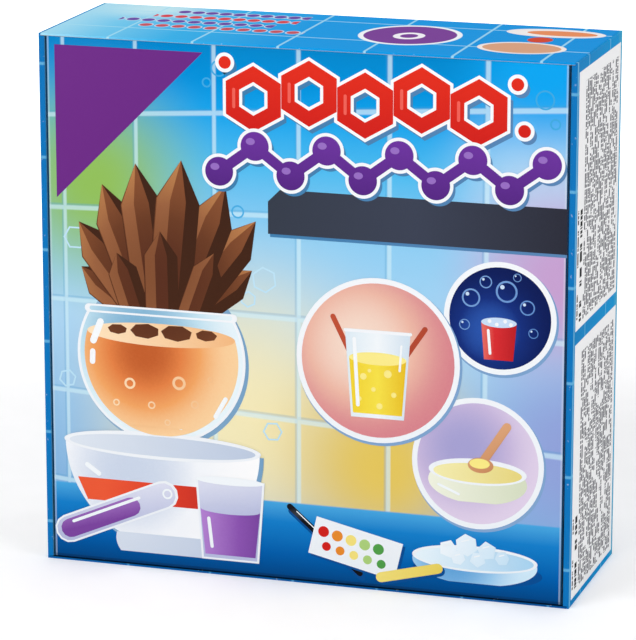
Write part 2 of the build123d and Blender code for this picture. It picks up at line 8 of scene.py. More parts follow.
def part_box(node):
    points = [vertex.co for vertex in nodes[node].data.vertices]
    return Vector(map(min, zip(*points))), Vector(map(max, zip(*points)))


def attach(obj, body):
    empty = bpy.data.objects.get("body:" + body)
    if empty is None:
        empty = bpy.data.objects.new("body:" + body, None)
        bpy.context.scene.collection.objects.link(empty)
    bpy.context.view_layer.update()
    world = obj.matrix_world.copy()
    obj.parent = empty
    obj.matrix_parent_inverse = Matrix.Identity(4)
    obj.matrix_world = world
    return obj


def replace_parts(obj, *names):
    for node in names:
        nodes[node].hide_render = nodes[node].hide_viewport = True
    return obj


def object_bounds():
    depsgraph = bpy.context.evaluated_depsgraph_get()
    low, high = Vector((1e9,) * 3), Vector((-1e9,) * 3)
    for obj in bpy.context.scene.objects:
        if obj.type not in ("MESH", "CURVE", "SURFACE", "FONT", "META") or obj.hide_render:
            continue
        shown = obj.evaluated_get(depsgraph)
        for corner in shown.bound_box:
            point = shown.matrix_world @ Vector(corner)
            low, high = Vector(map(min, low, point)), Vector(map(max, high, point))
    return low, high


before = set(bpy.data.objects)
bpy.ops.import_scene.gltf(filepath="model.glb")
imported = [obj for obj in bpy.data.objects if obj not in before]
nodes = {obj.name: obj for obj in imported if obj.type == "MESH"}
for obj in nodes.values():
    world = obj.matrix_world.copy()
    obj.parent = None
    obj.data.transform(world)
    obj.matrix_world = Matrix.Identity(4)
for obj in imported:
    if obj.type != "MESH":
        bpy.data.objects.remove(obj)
cad_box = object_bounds()
MM = 0.001


# ---- Room: a pale floor and soft studio light round a case that stands on it ----
# The floor is matt painted board. It keeps the soft shadow at the case's foot, whitens with
# distance, and is lit by three broad soft boxes and a white surround.
def linear(hexa):
    """A colour written as sRGB hex, as the linear values that a socket takes."""
    parts = [int(hexa[n:n + 2], 16) / 255 for n in (1, 3, 5)]
    return [p / 12.92 if p <= 0.04045 else ((p + 0.055) / 1.055) ** 2.4 for p in parts] + [1.0]


def add(tree, kind, *values, out=0, settings=None, stops=(), **inputs):
    """Add one shader node and return its output, or all of them where out is None.

    A kind in capitals is one step of arithmetic, and a kind's operation follows a colon.
    Inputs are set in order, by name, or by place as i6. A ramp's stops are (position, hex)
    or bare hexes at even steps.
    """
    kind, _, operation = ("Math:" + kind if kind.isupper() else kind).partition(":")
    node = tree.nodes.new("ShaderNode" + kind)
    if operation:
        node.operation = operation
    for name, value in (settings or {}).items():
        setattr(node, name, value)
    for n, stop in enumerate(stops):
        at, hexa = stop if isinstance(stop, tuple) else (n / (len(stops) - 1), stop)
        element = node.color_ramp.elements[n] if n < 2 else node.color_ramp.elements.new(at)
        element.position, element.color = at, linear(hexa)
    places = dict(enumerate(values))
    for name, value in inputs.items():
        places[int(name[1:]) if name[0] == "i" and name[1:].isdigit() else name.replace("_", " ")] = value
    for place, value in places.items():
        if isinstance(value, bpy.types.NodeSocket):
            tree.links.new(value, node.inputs[place])
        else:
            node.inputs[place].default_value = linear(value) if isinstance(value, str) else value
    return node.outputs if out is None else node.outputs[out]


def new_material(name):
    material = bpy.data.materials.new(name)
    material.use_nodes = True
    material.node_tree.nodes.clear()
    return material, material.node_tree


def seen_directly(tree):
    """One where the camera looks, straight or by reflection or through clear plastic."""
    path = add(tree, "LightPath", out=None)
    sight = add(tree, "ADD", path["Is Camera Ray"], path["Is Glossy Ray"])
    return add(tree, "MINIMUM", add(tree, "ADD", sight, path["Is Transmission Ray"]), 1.0)


def every(mm):
    """The scale at which a pattern repeats every so many millimetres.

    Scales with names of their own are repeats in a metre.
    """
    return 1 / (mm * MM)


CAMERA_AT = (0.527, -1.697, 0.574)
CAMERA_YAW, CAMERA_PITCH, CAMERA_LENS = 17.45, 14.36, 213.8
SENSOR_WIDE = 36
FLOOR_SPAN = 12.0
FLOOR_GRAIN = 60.0
SHADOW_REACH, WHITE_REACH = 0.30, 0.95
SHADOW_LIFT, WHITE_LIFT = 0.2, 0.9
LIT_AT = (0, 0, 0.12)
WORLD_LIGHT = 0.42

camera = bpy.data.objects.new("camera", bpy.data.cameras.new("camera"))
camera.data.lens = CAMERA_LENS
camera.data.sensor_width = SENSOR_WIDE
camera.data.clip_end = 30
camera.location = CAMERA_AT
camera.rotation_euler = (math.radians(90 - CAMERA_PITCH), 0, math.radians(CAMERA_YAW))
bpy.context.collection.objects.link(camera)
bpy.context.scene.camera = camera
bpy.context.scene.view_settings.view_transform = "Standard"

bm = bmesh.new()
bmesh.ops.create_grid(bm, x_segments=1, y_segments=1, size=FLOOR_SPAN / 2)
floor_mesh = bpy.data.meshes.new("floor")
bm.to_mesh(floor_mesh)
bm.free()
floor = bpy.data.objects.new("floor", floor_mesh)
bpy.context.collection.objects.link(floor)
floor_paint, tree = new_material("matt_floor_paint")
spot_at = add(tree, "TexCoord", out="Object")
grain = add(tree, "TexNoise", Vector=spot_at, Scale=FLOOR_GRAIN)
tone = add(tree, "ValToRGB", stops=[(0.3, "#f4f4f5"), (0.7, "#f8f8f9")], Fac=grain)
direct = seen_directly(tree)
from_case = add(tree, "VectorMath:LENGTH", spot_at, out="Value")
whitening = add(
    tree, "MapRange", settings={"interpolation_type": "SMOOTHSTEP"}, Value=from_case,
    From_Min=SHADOW_REACH, From_Max=WHITE_REACH, To_Min=SHADOW_LIFT, To_Max=WHITE_LIFT,
)
lift = add(tree, "MULTIPLY", whitening, direct)
matt = add(
    tree, "BsdfPrincipled", Base_Color=tone, Roughness=0.75,
    Emission_Color="#ffffff", Emission_Strength=lift,
)
add(tree, "OutputMaterial", Surface=matt, out=None)
floor_mesh.materials.append(floor_paint)

# (place, size, power): a key from the front left, a fill from the right and a top light
SOFT_BOXES = [
    ((-1.3, -2.2, 1.7), 1.6, 34.0),
    ((2.1, -1.0, 1.1), 1.4, 15.0),
    ((0.1, 0.3, 2.2), 1.6, 12.0),
]
for place, size, power in SOFT_BOXES:
    lamp = bpy.data.objects.new("soft_box", bpy.data.lights.new("soft_box", "AREA"))
    lamp.data.size, lamp.data.energy = size, power
    lamp.location = place
    toward = Vector(LIT_AT) - Vector(place)
    lamp.rotation_euler = toward.to_track_quat("-Z", "Y").to_euler()
    bpy.context.collection.objects.link(lamp)

world = bpy.data.worlds.new("white_surround")
bpy.context.scene.world = world
world.use_nodes = True
world.node_tree.nodes.clear()
seen = seen_directly(world.node_tree)
level = add(world.node_tree, "MapRange", Value=seen, To_Min=WORLD_LIGHT, To_Max=1.0)
glow = add(world.node_tree, "Background", Color="#ffffff", Strength=level)
add(world.node_tree, "OutputWorld", Surface=glow, out=None)


# ---- Case board: one die-cut blank of micro-flute board, printed and gloss coated outside ----
# Bleached liner inside, kraft flutes showing at cut edges. The coating gives a clear sheen,
# the flutes show through it as faint waves, and creases wear to the white of the paper.
WIDTH, DEPTH, HEIGHT = (cad_box[1][n] - cad_box[0][n] for n in range(3))
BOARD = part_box("bottom_wall")[1][2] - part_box("bottom_wall")[0][2]
half_width, half_depth = WIDTH / 2, DEPTH / 2
FLUTE_PITCH = 1.7 * MM
TILE_WIDE, TILE_HIGH = 42.0 * MM, 45.3 * MM
# joints are as wide as this share of a tile
GROUT = 0.022
# paper fibres are drawn coarser than real ones, so that they show
FIBRE = 0.35
SMUDGE, SCUFF = 28.0, 420.0


def blend_over(tree, below, above, mask):
    """A colour laid over another where the mask is one."""
    return add(tree, "Mix", settings={"data_type": "RGBA"}, i0=mask, i6=below, i7=above, out=2)


def glow_at(tree, u, v, centre, reach):
    """One at a centre on the print, fading to nothing at its reach."""
    du = add(tree, "SUBTRACT", u, centre[0])
    dv = add(tree, "SUBTRACT", v, centre[1])
    flat = add(tree, "CombineXYZ", X=du, Y=dv)
    far = add(tree, "VectorMath:LENGTH", flat, out="Value")
    return add(
        tree, "MapRange", settings={"interpolation_type": "SMOOTHERSTEP"}, Value=far, From_Max=reach,
        To_Min=1.0, To_Max=0.0,
    )


def joints_over(tree, across, up, colour, grout, strength, width=GROUT):
    """Joints drawn over a colour along whole numbers of tiles: pale, with a soft edge."""
    flat = add(tree, "CombineXYZ", X=across, Y=up)
    tiles = add(
        tree, "TexBrick", settings={"offset": 0.0, "squash": 1.0}, Vector=flat, Scale=1.0,
        Mortar_Size=width, Mortar_Smooth=0.6, Brick_Width=1.0, Row_Height=1.0, out="Fac",
    )
    return blend_over(tree, colour, grout, add(tree, "MULTIPLY", tiles, strength))


def tiled(tree, u, v, colour, grout, strength, start):
    """Square-on wall tiles drawn over a colour."""
    across = add(tree, "DIVIDE", add(tree, "SUBTRACT", u, start[0]), TILE_WIDE)
    up = add(tree, "DIVIDE", add(tree, "SUBTRACT", v, start[1]), TILE_HIGH)
    return joints_over(tree, across, up, colour, grout, strength)


def coated(tree, colour, place, roughness=0.34, coat=0.05, waves=None):
    """Gloss-coated paper: faint fibre and flute relief under a clear coat."""
    fibre = add(tree, "TexNoise", Vector=place, Scale=every(FIBRE), Detail=3.0)
    relief = fibre
    if waves:
        # this texture draws 20 waves in each 2 pi of its scale
        wave = add(
            tree, "TexWave", settings={"bands_direction": waves}, Vector=place,
            Scale=2 * math.pi / 20 / FLUTE_PITCH, Distortion=0.4, Detail=1.0, out="Fac",
        )
        scaled = add(tree, "MULTIPLY", wave, 0.9)
        relief = add(tree, "ADD", relief, scaled)
    bump = add(tree, "Bump", Height=relief, Strength=0.12, Distance=0.02 * MM)
    smudge = add(tree, "TexNoise", Vector=place, Scale=SMUDGE, Detail=2.0)
    rough = add(
        tree, "MapRange", Value=smudge, To_Min=roughness - 0.05, To_Max=roughness + 0.07
    )
    return add(
        tree, "BsdfPrincipled", Base_Color=colour, Roughness=rough, IOR=1.5,
        Specular_IOR_Level=0.0, Coat_Weight=coat, Coat_Roughness=0.16, Normal=bump,
    )


def printed_board(name, normal, outside, paint, wrap, waves):
    """Board whose outer face lies at one coordinate: printed there, liner and flutes elsewhere."""
    material, tree = new_material(name)
    place = add(tree, "TexCoord", out="Object")
    xyz = add(tree, "SeparateXYZ", Vector=place, out=None)
    depth = add(tree, "ABSOLUTE", add(tree, "SUBTRACT", xyz[normal], outside))
    printed = add(tree, "LESS_THAN", depth, wrap)
    fibres = add(tree, "TexNoise", Vector=place, Scale=every(2 * FIBRE), Detail=4.0)
    liner = add(
        tree, "ValToRGB", stops=[(0.3, "#cfcac0"), (0.7, "#dedad1")], Fac=fibres
    )
    scuffs = add(tree, "TexNoise", Vector=place, Scale=SCUFF, Detail=3.0)
    worn = add(
        tree, "MapRange", Value=scuffs, From_Min=0.66, From_Max=0.72, To_Max=0.35
    )
    edge = add(tree, "MapRange", Value=depth, From_Min=0.05 * MM, From_Max=0.4 * MM)
    wear = add(tree, "MULTIPLY", worn, edge)
    ink = blend_over(tree, paint(tree, xyz), "#e8eef2", wear)
    colour = blend_over(tree, liner, ink, printed)
    gloss = add(tree, "MapRange", Value=printed, To_Min=0.75, To_Max=0.3)
    finish = coated(tree, colour, place, waves=waves)
    tree.links.new(gloss, finish.node.inputs["Roughness"])
    add(tree, "OutputMaterial", Surface=finish, out=None)
    return material


def dress(node_name, material):
    """Give a carried-over solid its finish."""
    node_mesh = nodes[node_name].data
    node_mesh.materials.clear()
    node_mesh.materials.append(material)


# ---- Lid: the whole front, a sheet of case board with its artwork printed in layers of ink ----
# The board carries the wall of a bright laboratory: glazed tiles from strong blue at the top
# through pale blue to a warm glow and a lilac corner, over a deep blue bench. The figures lie
# on it as closed films of ink, each a level above the last, within the board's thickness.
LEFT, TOP = cad_box[0][0], cad_box[1][2]
INK_STEP, INK_LEVELS = 0.025 * MM, 16
INK_SPECK = 900.0
FOLD_ROUND = 0.5 * MM
BENCH_HIGH = 39.5 * MM
# the drawn wall runs away to the left: tiles narrow and their rows draw together there
TILE_LEFT, TILE_START, TILE_GROWTH = -21.7, 32.5, 1.3
ROW_LEVEL, ROW_TILT, ROW_START, ROW_GROWTH = 131.4, 0.012, 44.7, 0.039
# widths of the painted shade strip and the painted highlight line at the lid's side edges, and of the painted
# shade band along its foot
EDGE_SHADE_STRIP, HIGHLIGHT_STRIP, FOOT_SHADE_STRIP = 0.75 * MM, 1.6 * MM, 1.5 * MM
(lid_x0, lid_y0, lid_z0), (lid_x1, lid_y1, lid_z1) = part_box("front_lid")
sheet_front = lid_y0 + INK_LEVELS * INK_STEP


def drawn_tiles(tree, u, v, shift=0.0):
    """Place on the drawn wall in tiles, across and up, from the place on the board."""
    right = add(tree, "DIVIDE", add(tree, "SUBTRACT", u, LEFT), MM)
    past = add(tree, "SUBTRACT", right, TILE_LEFT)
    inner = add(tree, "MULTIPLY_ADD", past, 4 * TILE_GROWTH, TILE_START ** 2)
    widened = add(tree, "SUBTRACT", add(tree, "SQRT", inner), TILE_START)
    across = add(tree, "DIVIDE", widened, 2 * TILE_GROWTH)
    level = add(tree, "MULTIPLY_ADD", right, -ROW_TILT, ROW_LEVEL)
    high = add(tree, "SUBTRACT", add(tree, "DIVIDE", v, MM), level)
    up = add(tree, "DIVIDE", high, add(tree, "MULTIPLY_ADD", right, ROW_GROWTH, ROW_START))
    return add(tree, "ADD", across, shift), add(tree, "SUBTRACT", up, shift)


# (colour, centre, reach): green, pale and clear blue, cream, amber, lilac and violet blue
WALL_GLOWS = [
    ("#93c15c", (-0.104, 0.190), 0.078), ("#b4dcf7", (0.118, 0.196), 0.070),
    ("#0aa6f2", (0.116, 0.256), 0.060), ("#f7ecbc", (-0.030, 0.078), 0.115),
    ("#e8c95e", (0.040, 0.062), 0.080), ("#c9a2d2", (0.126, 0.158), 0.072),
    ("#93a4dc", (0.132, 0.076), 0.075),
]


def laboratory_wall(tree, xyz):
    """Glazed wall over a bench, with a painted highlight line and a painted shade strip at the lid's side
    edges, and a painted shade band along its foot.
    """
    u, v = xyz["X"], xyz["Z"]
    rise = add(tree, "DIVIDE", v, HEIGHT)
    wall = add(tree, "ValToRGB", Fac=rise, stops=[
        (0.10, "#7fb1e0"), (0.995, "#0086cc"), (0.30, "#90c3ec"), (0.48, "#aed8f5"),
        (0.64, "#93d0f4"), (0.78, "#4ebcf0"), (0.87, "#12a4ec"), (0.93, "#0092dc"),
    ])
    for colour, centre, reach in WALL_GLOWS:
        wall = blend_over(tree, wall, colour, glow_at(tree, u, v, centre, reach))
    wall = joints_over(tree, *drawn_tiles(tree, u, v, 0.03), wall, "#3f9bd0", 0.3)
    wall = joints_over(tree, *drawn_tiles(tree, u, v), wall, "#d2f1fb", 0.6, 0.034)
    low = add(tree, "MapRange", Value=v, From_Min=0.0, From_Max=BENCH_HIGH)
    bench = add(tree, "ValToRGB", Fac=low, stops=[
        (0.0, "#014380"), (1.0, "#4aa9e2"), (0.35, "#0160ae"), (0.75, "#1480cc"),
    ])
    on_bench = add(
        tree, "MapRange", Value=v, From_Min=BENCH_HIGH - 0.4 * MM, From_Max=BENCH_HIGH + 0.4 * MM,
        To_Min=1.0, To_Max=0.0,
    )
    picture = blend_over(tree, wall, bench, on_bench)
    from_middle = add(tree, "ABSOLUTE", u)
    # painted highlight: a pale line inside each side edge, where the lid's rounded fold catches light
    pale = add(tree, "GREATER_THAN", from_middle, lid_x1 - HIGHLIGHT_STRIP)
    picture = blend_over(tree, picture, "#d5e6ef", add(tree, "MULTIPLY", pale, 0.35))
    # painted shade: a darker band along the lid's foot, where its rounded lower edge turns from the light
    foot = add(tree, "LESS_THAN", v, lid_z0 + FOOT_SHADE_STRIP)
    picture = blend_over(tree, picture, "#0c2c4c", add(tree, "MULTIPLY", foot, 0.45))
    # painted shade: a dark strip at each side edge, for the shadowed gap between the lid and the side walls
    dark = add(tree, "GREATER_THAN", from_middle, lid_x1 - EDGE_SHADE_STRIP)
    return blend_over(tree, picture, "#113e5e", dark)


def finished(name, bm, body, materials, sharp=None):
    """Make a piece from its mesh: closed, normals outward, riding on its body."""
    bmesh.ops.recalc_face_normals(bm, faces=bm.faces)
    mesh = bpy.data.meshes.new(name)
    bm.to_mesh(mesh)
    bm.free()
    for material in materials:
        mesh.materials.append(material)
    if sharp:
        mesh.polygons.foreach_set("use_smooth", [True] * len(mesh.polygons))
        mesh.set_sharp_from_angle(angle=math.radians(sharp))
    piece = bpy.data.objects.new(name, mesh)
    bpy.context.collection.objects.link(piece)
    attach(piece, body)
    return piece


def add_block(bm, low, high):
    """Add a box between two corners."""
    centre = [(a + b) / 2 for a, b in zip(low, high)]
    span = [b - a for a, b in zip(low, high)]
    matrix = Matrix.Translation(centre) @ Matrix.Diagonal((*span, 1))
    return bmesh.ops.create_cube(bm, size=1, matrix=matrix)["verts"]


def break_edges(bm, edges, width, segments=3):
    bmesh.ops.bevel(
        bm, geom=edges, offset=width, offset_type="OFFSET", segments=segments, profile=0.5,
        affect="EDGES", material=-1,
    )


bm = bmesh.new()
add_block(bm, (lid_x0, sheet_front, lid_z0), (lid_x1, lid_y1, lid_z1))
folds = []
for edge in bm.edges:
    middle = (edge.verts[0].co + edge.verts[1].co) / 2
    if middle.y < sheet_front + 0.1 * MM and middle.z < lid_z1 - 1 * MM:
        folds.append(edge)
break_edges(bm, folds, FOLD_ROUND)
lid_sheet = printed_board("printed_front", "Y", sheet_front, laboratory_wall, FOLD_ROUND, "X")
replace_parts(finished("lid_board", bm, "lid", [lid_sheet], sharp=50), "front_lid")


def ink(name, stops, start=None, end=None, centre=None, reach=None):
    """Coated ink: one colour, a blend between two points, or a glow about a centre (in mm)."""
    material, tree = new_material("ink_" + name)
    place = add(tree, "TexCoord", out="Object")
    xyz = add(tree, "SeparateXYZ", Vector=place, out=None)
    u, v = xyz["X"], xyz["Z"]
    if centre:
        at = (LEFT + centre[0] * MM, TOP - centre[1] * MM)
        share = glow_at(tree, u, v, at, reach * MM)
    else:
        (u0, t0), (u1, t1) = start or (0, 0), end or (0, 260)
        along = ((u1 - u0) * MM, 0, (t0 - t1) * MM)
        from_start = add(
            tree, "VectorMath:SUBTRACT",
            place, (LEFT + u0 * MM, 0, TOP - t0 * MM),
        )
        dot = add(tree, "VectorMath:DOT_PRODUCT", from_start, along, out="Value")
        length = along[0] ** 2 + along[2] ** 2
        share = add(tree, "DIVIDE", dot, length)
    dots = add(tree, "TexNoise", Vector=place, Scale=INK_SPECK, Detail=1.0)
    speck = add(tree, "MapRange", Value=dots, To_Min=-0.03, To_Max=0.03)
    share = add(tree, "ADD", share, speck)
    colour = add(tree, "ValToRGB", stops=stops, Fac=share)
    finish = coated(tree, colour, place, waves="X")
    add(tree, "OutputMaterial", Surface=finish, out=None)
    return material


def disc(u, t, radius, sides=64, turn=0.0, flat=1.0):
    """Outline of a circle, ellipse or regular polygon, in mm from the print's top left."""
    angles = [turn + 2 * math.pi * n / sides for n in range(sides)]
    return [[(u + radius * math.cos(a), t + flat * radius * math.sin(a)) for a in angles]]


def hoop(u, t, outer, inner, sides=64, turn=0.0):
    """A ring: its outer and its inner outline."""
    return disc(u, t, outer, sides, turn) + disc(u, t, inner, sides, turn)


def bar(u0, t0, u1, t1, width, ends=6):
    """A straight bar with round ends."""
    heading = math.atan2(t1 - t0, u1 - u0)
    outline = []
    for (u, t), start in (((u1, t1), heading - math.pi / 2), ((u0, t0), heading + math.pi / 2)):
        for n in range(ends + 1):
            angle = start + math.pi * n / ends
            outline.append((u + width / 2 * math.cos(angle), t + width / 2 * math.sin(angle)))
    return [outline]


def cup(u, t, radius, low, high, flat=1.0, steps=24):
    """The part of a disc that lies between two heights, closed by level lines."""
    right = []
    for n in range(steps + 1):
        height = low + (high - low) * n / steps
        right.append((math.sqrt(max(radius ** 2 - ((height - t) / flat) ** 2, 0.0)), height))
    return [[(u + half, h) for half, h in right] + [(u - half, h) for half, h in reversed(right)]]


def print_layers(name, layers, inks):
    """Print outlines on the lid: each layer is its level, its ink and its outlines."""
    bm = bmesh.new()
    order = list(inks)
    for level, colour, *shapes in layers:
        for loops in shapes:
            sheets = []
            for height in (level - 1, level):
                y = sheet_front - height * INK_STEP
                sheets.append([
                    [bm.verts.new((LEFT + u * MM, y, TOP - t * MM)) for u, t in loop] for loop in loops
                ])
            faces = []
            for sheet in sheets:
                if len(sheet) == 1:
                    faces.append(bm.faces.new(sheet[0]))
                else:
                    outer, inner = sheet
                    for n in range(len(outer)):
                        faces.append(bm.faces.new((outer[n - 1], outer[n], inner[n], inner[n - 1])))
            for lower, upper in zip(*sheets):
                for n in range(len(lower)):
                    faces.append(bm.faces.new((lower[n - 1], lower[n], upper[n], upper[n - 1])))
            for face in faces:
                face.material_index = order.index(colour)
    return finished(name, bm, "lid", [inks[key] for key in order])


# ---- Print, corner and bands: a bare violet corner, a bare charcoal band, two rows of motifs ----
# A chain of red rings and a zigzag of violet balls stand where the two large coloured rows are,
# each with a white edge and a soft dark offset below it.
paper_white = ink("white", ["#fbfcfe", "#eef3f8"])
offset_shade = ink("offset_shade", ["#3f7fae", "#5b86b5"], (100, 0), (255, 0))
shine = ink("shine", ["#ffffff", "#f2f8fc"])
violet_field = ink("violet_field", ["#713089", "#6b2a84"], (8, 5), (60, 60))
charcoal = ink("charcoal", ["#373d4a", "#3d4354", "#2d2e3a"], (112, 0), (259, 0))
red_row = ink("red_row", ["#e5301f", "#d2221d"], (0, 8), (0, 40))
red_lit = ink("red_lit", ["#f2665a", "#ea4a41"])
violet_row = ink("violet_row", ["#6f37a0", "#542780"], (0, 40), (0, 70))
violet_lit = ink("violet_lit", ["#9c74c6", "#8559b4"])

RING_AT = [(107 + 27.2 * n, 23.5 + 2.0 * (-1) ** n) for n in range(5)]
BALL_AT = [(90 + 17.6 * n, 54.5 + 6.5 * (-1) ** n) for n in range(10)]
SPARK_AT = [(93.0, 9.0), (234.0, 11.5), (237.5, 33.0)]


def row_layers(shift, level, colour, grow):
    """The red rings with their small balls, moved and swollen for an edge or a shade."""
    du, dt = shift
    rings = [hoop(u + du, t + dt, 15.6 + grow, 8.0 - grow, 6, math.pi / 6) for u, t in RING_AT]
    balls = [disc(u + du, t + dt, 3.0 + grow) for u, t in SPARK_AT]
    return [(level, colour, *rings[0::2], *balls), (level + 1, colour, *rings[1::2])]


def zigzag_layers(shift, level, colour, grow):
    du, dt = shift
    balls = [disc(u + du, t + dt, 6.9 + grow) for u, t in BALL_AT]
    rods = [
        bar(u0 + du, t0 + dt, u1 + du, t1 + dt, 5.0 + 2 * grow)
        for (u0, t0), (u1, t1) in zip(BALL_AT, BALL_AT[1:])
    ]
    return [(level, colour, *rods[0::2]), (level + 1, colour, *rods[1::2]), (level + 2, colour, *balls)]


title_inks = {
    "white": paper_white, "shade": offset_shade, "red": red_row, "red_lit": red_lit,
    "violet": violet_row, "violet_lit": violet_lit, "field": violet_field, "charcoal": charcoal,
}
CORNER = [(8, 5), (82, 5), (8, 79)]
BAND = [(114, 74), (120, 68), (258.3, 68), (258.3, 89.5), (114, 89.5)]
BAND_SHADE = [(115, 75), (121, 69.5), (258.3, 69.5), (258.3, 91), (115, 91)]
print_layers("print_corner_and_band", [
    (1, "field", [CORNER]),
    (1, "shade", [BAND_SHADE]),
    (2, "charcoal", [BAND]),
], title_inks)
print_layers("print_red_rings", [
    *row_layers((1.6, 2.0), 1, "shade", 1.2),
    *row_layers((0, 0), 3, "white", 1.7),
    *row_layers((0, 0), 5, "red", 0.0),
    (7, "red_lit", *[bar(u - 9.6, t + 4.2, u - 9.6, t - 4.0, 1.5) for u, t in RING_AT]),
], title_inks)
print_layers("print_violet_zigzag", [
    *zigzag_layers((1.5, 1.8), 3, "shade", 1.0),
    *zigzag_layers((0, 0), 6, "white", 1.6),
    *zigzag_layers((0, 0), 9, "violet", 0.0),
    (12, "violet_lit", *[disc(u - 2.1, t - 2.2, 2.2, flat=0.75) for u, t in BALL_AT]),
], title_inks)

# ---- Print, three round pictures: plain laboratory glass in white-rimmed discs ----
# A navy disc with bubbles, a peach disc with a tall glass of yellow liquid, and a lilac disc
# with a shallow dish of pale powder.
NAVY_AT, NAVY_R = (227.0, 122.0), 27.0
PEACH_AT, PEACH_R = (168.0, 147.0), 40.0
LILAC_AT, LILAC_R = (217.0, 193.0), 32.0
round_inks = {
    "white": paper_white,
    "shade": ink("round_shade", ["#6f9bc8", "#86a9d2"]),
    "shine": shine,
    "navy": ink("navy", [(0.0, "#0d1c56"), (0.6, "#16307c"), (1.0, "#2b55ab")], centre=(222, 128), reach=34),
    "bubble": ink("bubble", ["#7fa8dd", "#4d7fc6"], (205, 100), (245, 145)),
    "bubble_lit": ink("bubble_lit", ["#d7e8fa", "#b7d3f3"]),
    "red_glass": ink("red_glass", [(0.0, "#f08a7c"), (0.4, "#d92f33"), (1.0, "#a9151f")], (214, 0), (240, 0)),
    "peach": ink("peach", ["#d9848d", "#eeb9a6", "#f7dccb"], centre=(160, 140), reach=52),
    "glass": ink("pale_glass", ["#dcebf4", "#f3f8fb", "#cfe0ee"], (150, 0), (186, 0)),
    "yellow": ink("yellow", ["#f1cf2e", "#f8e24a", "#e8b91f"], (152, 0), (184, 0)),
    "cream": ink("cream", ["#fff3a2", "#fbe97c"]),
    "auburn": ink("auburn", ["#c8573a", "#a03a2b"], (130, 115), (200, 185)),
    "lilac": ink("lilac", ["#e3d3ea", "#c7b7dc", "#a7a2d3"], centre=(210, 186), reach=44),
    "dish": ink("dish_glass", ["#f4f6e4", "#d5ddc0"], (190, 0), (244, 0)),
    "powder": ink("powder", ["#f7efb0", "#e9d77f"], (196, 0), (238, 0)),
    "skin": ink("spoon_tan", ["#e9b184", "#c98a5e"], (222, 168), (236, 190)),
}


def framed(centre, radius, level, fill):
    """A disc of colour with a white rim and a soft shade round it."""
    u, t = centre
    return [
        (level, "shade", disc(u + 0.7, t + 1.0, radius + 0.4)),
        (level + 1, "white", disc(u, t, radius)),
        (level + 2, fill, disc(u, t, radius - 2.6)),
    ]


nu, nt = NAVY_AT
bubbles = [
    (-14, -9, 4.4), (-7, -17, 3.0), (-17, 4, 2.6), (3, -13, 5.2), (13, -6, 3.6), (16, 6, 2.4), (8, -20, 2.0),
]
grains = [(-5, 1.5), (-1.5, 2.9), (2.5, 1.2), (5.2, 2.6)]
print_layers("print_round_navy", [
    *framed(NAVY_AT, NAVY_R, 1, "navy"),
    (4, "bubble", *[hoop(nu + du, nt + dt, r, 0.82 * r) for du, dt, r in bubbles]),
    (4, "bubble_lit", *[disc(nu + du - 0.4 * r, nt + dt - 0.4 * r, 0.2 * r) for du, dt, r in bubbles]),
    (5, "red_glass", [[(nu - 9, nt + 2), (nu + 8, nt + 2), (nu + 6.5, nt + 20), (nu - 7.5, nt + 20)]]),
    (6, "bubble_lit", disc(nu - 0.5, nt + 2, 8.5, flat=0.28)),
    (7, "white", *[disc(nu + du, nt + dt, 0.9) for du, dt in grains]),
    (6, "shine", bar(nu - 5.6, nt + 6, nu - 4.6, nt + 17, 1.3)),
], round_inks)
pu, pt = PEACH_AT
rods = [(-22, -20, -8, 8), (23, -17, 9, 4)]
fizz = [(-7, 8, 1.6), (-2, 14, 1.1), (5, 6, 1.9), (8, 16, 1.3), (-9, 19, 1.2), (1, 22, 1.5), (-4, 5, 0.9)]
print_layers("print_round_peach", [
    *framed(PEACH_AT, PEACH_R, 6, "peach"),
    (9, "auburn", *[bar(pu + a, pt + b, pu + c, pt + d, 2.6) for a, b, c, d in rods]),
    (10, "glass", [[(pu - 16, pt - 14), (pu + 16, pt - 14), (pu + 13, pt + 28), (pu - 13, pt + 28)]]),
    (11, "yellow", [[(pu - 14, pt - 1), (pu + 14, pt - 1), (pu + 12, pt + 26), (pu - 12, pt + 26)]]),
    (12, "cream", disc(pu, pt - 1, 14, flat=0.22)),
    (13, "cream", *[disc(pu + du, pt + dt, r) for du, dt, r in fizz]),
    (14, "shine", bar(pu - 11.5, pt - 10, pu - 9.6, pt + 22, 1.8)),
    (14, "shine", bar(pu + 11.6, pt - 8, pu + 10.8, pt + 4, 1.1)),
    (12, "white", bar(pu - 16, pt - 14, pu + 16, pt - 14, 1.6)),
], round_inks)
lu, lt = LILAC_AT
print_layers("print_round_lilac", [
    *framed(LILAC_AT, LILAC_R, 1, "lilac"),
    (4, "dish", cup(lu, lt + 9, 24, lt + 4, lt + 19, flat=0.45)),
    (5, "white", disc(lu, lt + 4, 23.8, flat=0.27)),
    (6, "powder", disc(lu, lt + 4.6, 21.5, flat=0.22)),
    (7, "skin", bar(lu + 14, lt - 19, lu + 3, lt - 2, 4.2)),
    (8, "skin", disc(lu + 1.5, lt + 0.6, 6.2, flat=0.6)),
    (9, "cream", disc(lu + 1.0, lt - 0.2, 4.9, flat=0.5)),
    (7, "shine", bar(lu - 19, lt + 11.5, lu - 9, lt + 15.6, 1.2)),
], round_inks)

